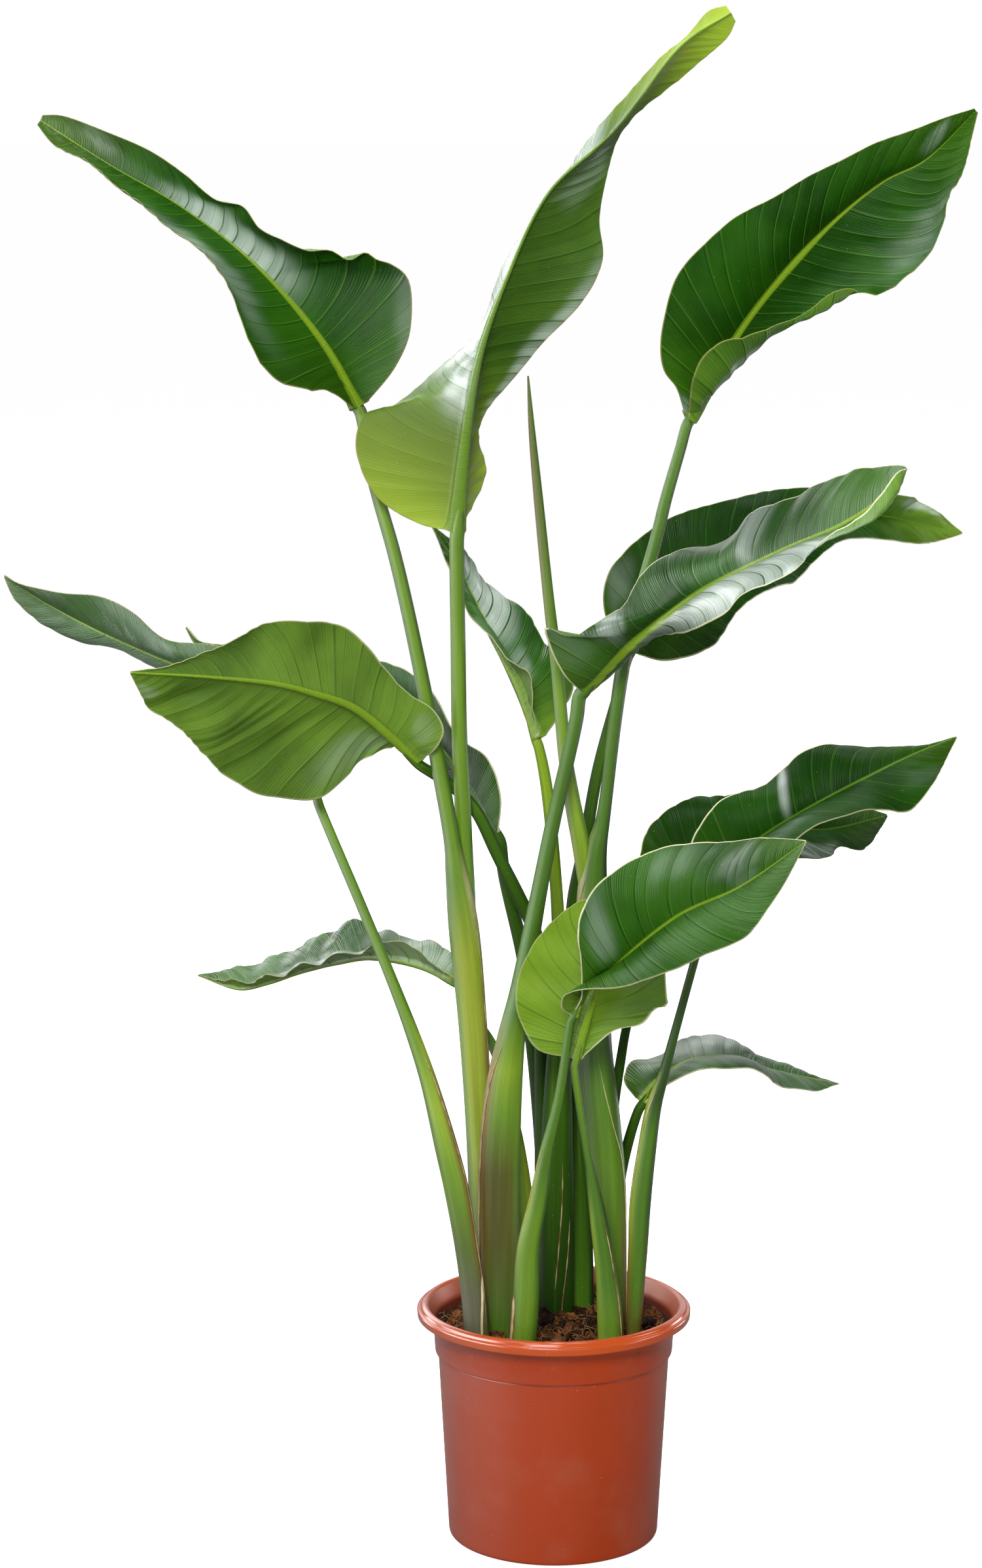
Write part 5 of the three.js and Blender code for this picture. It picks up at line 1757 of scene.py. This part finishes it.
@dataclass(frozen=True)
class BladeLook:
    """How one blade differs, with pairs for the upper and the lower half."""

    growth: Growth
    pale_base: float = 0.1
    pale_tip: float = 0.1
    pleat: Pair = (0.8, 0.8)
    scallop: float = 0.8
    shine: float = 0.22
    # Even wax over the whole blade: a waxy coat with silver sheen painted in.
    wax: float = 0.0
    cream: Pair = (0.0, 0.0)
    rib_taper: float = 1.0
    folds: Sequence[Fold] = ()
    sheen_patches: Sequence[SheenPatch] = ()


BLADE_LOOKS = {
    "leaf_01": BladeLook(
        Growth.GROWN, 0.1, 0.2, (0.5, 1.3), 0.4, 0.1, rib_taper=2.2,
        sheen_patches=(SheenPatch(0, 0.47, 0.12, 0.19, 0.42, 1.0), SheenPatch(1, 0.38, 0.7, 0.2, 0.3, 0.5),
                SheenPatch(0, 0.82, 0.6, 0.05, 0.35, 0.3), SheenPatch(0, 0.11, 0.97, 0.05, 0.12, 0.25))),
    "leaf_02": BladeLook(
        Growth.TALL, 0.85, 0.7, (0.9, 1.4), 0.5, 0.15, rib_taper=3.0,
        sheen_patches=(SheenPatch(0, 0.42, 0.5, 0.2, 0.9, 1.0), SheenPatch(0, 0.27, 0.15, 0.09, 0.25, 1.0),
                SheenPatch(0, 0.61, 0.8, 0.06, 0.5, 0.9), SheenPatch(1, 0.3, 0.97, 0.14, 0.16, 0.7),
                SheenPatch(1, 0.6, 0.55, 0.07, 0.35, 0.4))),
    "leaf_03": BladeLook(
        Growth.GROWN, 0.1, 0.1, (0.5, 1.7), 0.4, 0.1,
        sheen_patches=(SheenPatch(0, 0.85, 0.5, 0.05, 0.35, 0.45), SheenPatch(1, 0.58, 0.78, 0.14, 0.25, 0.3),
                SheenPatch(1, 0.18, 0.55, 0.14, 0.1, 0.8), SheenPatch(0, 0.0, 0.6, 0.03, 0.5, 0.7))),
    "leaf_04": BladeLook(
        Growth.GROWN, 0.2, 0.1, (0.5, 1.0), 0.5, 0.2, cream=(0.7, 0.9),
        folds=(Fold(0, 0.5, 14, 7), Fold(0, 0.6, 9, -3), Fold(0, 0.76, 12, 3)),
        sheen_patches=(SheenPatch(1, 0.44, 0.45, 0.3, 0.75, 0.92), SheenPatch(0, 0.53, 0.7, 0.035, 0.5, 0.7),
                SheenPatch(0, 0.16, 0.62, 0.04, 0.35, 0.75), SheenPatch(0, 0.1, 0.8, 0.06, 0.4, 0.3),
                SheenPatch(0, 0.97, 0.6, 0.04, 0.6, 0.3))),
    "leaf_05": BladeLook(
        Growth.SHADED, 0.1, 0.5, (0.4, 0.7), 0.6, 0.12, cream=(0.0, 0.6),
        folds=(Fold(0, 0.74, 9, 6), Fold(0, 0.84, 9, -6), Fold(1, 0.7, 9, -5), Fold(1, 0.82, 9, 5)),
        sheen_patches=(SheenPatch(0, 0.85, 0.75, 0.05, 0.25, 0.7), SheenPatch(0, 0.09, 0.8, 0.04, 0.2, 0.4))),
    "leaf_06": BladeLook(
        Growth.MID, 0.2, 0.1, (0.6, 1.6), 0.6, 0.15, cream=(0.3, 0.3), rib_taper=1.6,
        folds=(Fold(1, 0.35, 14, 6), Fold(1, 0.55, 13, -6), Fold(1, 0.75, 13, 6)),
        sheen_patches=(SheenPatch(0, 0.07, 0.6, 0.03, 0.3, 0.35), SheenPatch(1, 0.16, 0.55, 0.09, 0.4, 0.45),
                SheenPatch(1, 0.87, 0.75, 0.06, 0.25, 0.45))),
    "leaf_07": BladeLook(
        Growth.MID, 0.1, 0.1, (0.6, 0.6), 0.6, 0.3, wax=0.1,
        sheen_patches=(SheenPatch(0, 0.55, 0.7, 0.06, 0.4, 0.6), SheenPatch(1, 0.5, 0.6, 0.3, 0.5, 0.4))),
    "leaf_08": BladeLook(Growth.SHADED, 0.1, 0.1, (0.8, 0.8), 1.0, 0.15, cream=(0.5, 0.0)),
    "leaf_09": BladeLook(
        Growth.MID, 0.1, 0.1, (1.1, 1.1), 1.6, 0.3,
        sheen_patches=(SheenPatch(1, 0.3, 0.5, 0.35, 1.0, 0.5), SheenPatch(0, 0.1, 0.5, 0.1, 0.6, 0.6),
                SheenPatch(0, 0.5, 0.12, 0.12, 0.12, 0.4))),
    "leaf_10": BladeLook(
        Growth.MID, 0.7, 0.1, (1.0, 1.0), 0.8, 0.3, cream=(0.3, 0.3),
        sheen_patches=(SheenPatch(0, 0.6, 0.4, 0.22, 0.6, 1.0), SheenPatch(0, 0.3, 0.2, 0.08, 0.25, 0.6))),
    "leaf_11": BladeLook(
        Growth.SHADED, 0.1, 0.1, (0.5, 0.8), 0.6, 0.06, cream=(0.8, 0.3),
        sheen_patches=(SheenPatch(0, 0.4, 0.6, 0.02, 0.5, 0.8),
                SheenPatch(1, 0.25, 0.5, 0.12, 0.3, 0.3), SheenPatch(1, 0.72, 0.7, 0.08, 0.3, 0.2))),
    "leaf_12": BladeLook(
        Growth.SHADED, 0.1, 0.1, (0.6, 0.9), 0.8, 0.08,
        sheen_patches=(SheenPatch(1, 0.5, 0.8, 0.12, 0.25, 0.5),)),
    "leaf_13": BladeLook(
        Growth.MID, 0.2, 0.1, (0.8, 0.4), 0.4, 0.1, cream=(1.0, 0.4),
        folds=(Fold(0, 0.06, 7, 2.5), Fold(0, 0.17, 8, 2.5), Fold(0, 0.3, 8, 1.6),
               Fold(0, 0.46, 10, 1.4), Fold(0, 0.72, 14, 3.0)),
        sheen_patches=(SheenPatch(0, 0.24, 0.55, 0.05, 0.35, 0.45), SheenPatch(0, 0.5, 0.75, 0.1, 0.2, 0.25),
                SheenPatch(0, 0.72, 0.5, 0.08, 0.35, 0.4), SheenPatch(0, 0.76, 0.12, 0.06, 0.12, 0.3))),
    "leaf_14": BladeLook(
        Growth.YOUNG, 0.3, 0.2, (0.2, 0.9), 0.8, 0.12, cream=(0.2, 0.8),
        folds=(Fold(1, 0.25, 8, 3), Fold(1, 0.5, 8, -2.5), Fold(1, 0.7, 8, 2.5)),
        sheen_patches=(SheenPatch(1, 0.3, 0.7, 0.3, 0.4, 0.25),)),
    "leaf_15": BladeLook(
        Growth.GROWN, 0.2, 0.1, (0.9, 0.9), 0.9, 0.3, cream=(0.2, 0.5), rib_taper=3.0,
        sheen_patches=(SheenPatch(0, 0.38, 0.4, 0.14, 0.5, 0.75), SheenPatch(0, 0.12, 0.5, 0.06, 0.3, 0.4),
                SheenPatch(1, 0.5, 0.5, 0.3, 0.6, 0.2))),
}


class Plant:
    """All leaves, their stalks and the dry margins of their sheaths."""

    def __init__(self, effects: Effects) -> None:
        """Makes the finishes.

        Args:
            effects: the shared node groups.
        """
        self.effects = effects
        self.stalk = StalkFinish("Stalk").material(effects)
        self.shaded_stalk = StalkFinish("Shaded stalk", 0.5, shine=0.08).material(effects)
        self.dry = {kind: DryFinish(f"Dry margin {kind.name.lower()}", kind).material()
                    for kind in Dryness}

    def build(self) -> None:
        """Makes every leaf, then the rolled leaf, then the margins."""
        lines: dict[Dryness, list] = {kind: [] for kind in Dryness}
        for name, plan in LEAVES.items():
            blade = Blade(name, plan, BLADE_LOOKS[name])
            base = blade.look.growth.value
            finish = replace(base, name=f"{base.name} {name[-2:]}", shine=blade.look.shine)
            blade.build(finish.material(self.effects))
            stalk = Stalk(name, plan.stalk, STALK_LOOKS[name], blade)
            stalk.build(self.shaded_stalk if stalk.look.shaded else self.stalk)
            for margin in stalk.look.margins:
                lines[margin.dryness].append((stalk.margin_line(margin), margin.width))
        Stalk("new_leaf", NEW_LEAF, STALK_LOOKS["new_leaf"]).build(self.stalk)
        ribbons = SheathMargins()
        for kind, found in lines.items():
            ribbons.build(f"sheath_margins_{kind.name.lower()}", found, self.dry[kind])


@dataclass(frozen=True)
class Softbox:
    """One large soft light of the studio."""

    name: str
    place: Triple
    aim: Triple
    size: Pair
    power: float
    only_sheen: bool = False

    def build(self) -> None:
        """Hangs the light and turns it to its aim."""
        light = bpy.data.lights.new(self.name, "AREA")
        light.shape, light.energy = "RECTANGLE", self.power
        light.size, light.size_y = self.size
        lamp = placed(self.name, light)
        lamp.location = self.place
        way = np.subtract(self.aim, self.place)
        flat = math.hypot(way[0], way[1])
        lamp.rotation_euler = (math.atan2(flat, -way[2]), 0.0, math.atan2(-way[0], way[1]))
        lamp.visible_camera = False
        lamp.visible_diffuse = not self.only_sheen


@dataclass
class Studio:
    """Plain pale floor, soft studio light and the camera."""

    eye: Triple = (-0.055, -3.24, 1.23)
    pitch: float = 0.171
    lens: float = 88.1
    sensor: float = 36.0
    view_depth: float = 200.0
    floor_size: float = 400.0
    floor_gap: float = 0.0002
    floor_glow: float = 0.9
    floor_dark: float = 0.86
    floor_light: float = 0.88
    floor_bounce: float = 0.18
    sky: float = 1.0
    sky_light: float = 0.1
    lights: tuple[Softbox, ...] = (
        Softbox("Backdrop glow", (0.0, 3.6, 1.7), (0, 0, 1.0), (5.0, 2.6), 44.0),
        Softbox("Overhead softbox", (-0.2, 0.4, 3.1), (0, 0, 0.7), (1.5, 1.1), 60.0),
        Softbox("Front softbox", (-0.7, -3.8, 2.9), (0, 0, 0.6), (1.8, 1.4), 170.0),
        Softbox("Left sheen", (-2.8, -0.3, 1.9), (0, 0, 1.0), (3.6, 2.1), 270.0, True),
        Softbox("Low left sheen", (-1.3, -0.5, 0.45), (-0.2, 0.0, 1.0), (1.5, 0.8), 26.0, True),
        Softbox("Back left sheen", (-1.4, 2.2, 1.6), (0, 0, 1.1), (1.6, 1.3), 26.0, True),
        Softbox("Back top sheen", (0.1, 2.2, 2.8), (0, 0, 0.8), (2.6, 1.0), 33.0, True),
        Softbox("Right sheen", (2.8, 0.2, 2.1), (0, 0, 0.9), (1.0, 1.3), 34.0, True),
        Softbox("Low front fill", (0.5, -2.6, 0.3), (0, 0, 0.2), (1.6, 0.4), 7.0),
        Softbox("Low right fill", (2.0, -0.8, 0.4), (0, 0, 0.1), (0.6, 0.6), 5.5),
        Softbox("Pot edge left", (-1.3, 0.9, 0.3), (0, 0, 0.12), (0.5, 0.6), 7.0, True),
        Softbox("Pot edge right", (1.3, 0.9, 0.3), (0, 0, 0.12), (0.5, 0.6), 7.0, True),
    )

    def build(self) -> None:
        """Sets up floor, background, lights and camera."""
        self._floor()
        self._background()
        for light in self.lights:
            light.build()
        self._camera()

    def _floor(self) -> None:
        """Lays the pale floor."""
        material, w, surface = new_material("Pale floor")
        cloud = w.noise(w.object_place(), 1.5)
        seen = w.node("ShaderNodeLightPath").outputs["Is Camera Ray"]
        pale = w.blend(cloud, grey(self.floor_dark), grey(self.floor_light))
        w.dress(surface, {"Base Color": w.blend(seen, grey(self.floor_bounce), pale),
                          "Roughness": 0.6, "Emission Color": grey(1.0),
                          "Emission Strength": w.times(seen, self.floor_glow)})
        half = self.floor_size / 2
        corners = [(-half, -half, 0), (half, -half, 0), (half, half, 0), (-half, half, 0)]
        mesh = bpy.data.meshes.new("Floor")
        mesh.from_pydata(corners, [], [(0, 1, 2, 3)])
        mesh.materials.append(material)
        floor = placed("Floor", mesh)
        floor.location.z = -self.floor_gap

    def _background(self) -> None:
        """Makes a white background whose light on the plant is held lower."""
        world = bpy.data.worlds.new("Studio")
        world.use_nodes = True
        w = Wiring(world.node_tree)
        seen = w.node("ShaderNodeLightPath").outputs["Is Camera Ray"]
        strength = w.times(seen, self.sky - self.sky_light, self.sky_light)
        w.dress(world.node_tree.nodes["Background"], {"Color": grey(1.0), "Strength": strength})
        bpy.context.scene.world = world
        bpy.context.scene.view_settings.view_transform = "Standard"

    def _camera(self) -> None:
        """Places the camera where the photograph was taken from."""
        camera = bpy.data.cameras.new("Camera")
        camera.sensor_width, camera.lens = self.sensor, self.lens
        camera.clip_end = self.view_depth
        holder = placed("Camera", camera)
        holder.location = self.eye
        holder.rotation_euler = (math.pi / 2 - self.pitch, 0.0, 0.0)
        bpy.context.scene.camera = holder


def main() -> None:
    """Builds the stage, the pot, the soil and the plant."""
    logging.basicConfig(level=logging.INFO, format="%(message)s")
    Studio().build()
    effects = Effects()
    pot = Pot()
    pot.build(PotFinish("Terracotta plastic").material(effects))
    soil = Soil(pot)
    soil.ground(BarkFinish("Potting soil", (24, 12, 4), (78, 46, 20)).material())
    SoilBits().strew(soil)
    Plant(effects).build()


if __name__ == "__main__":
    main()
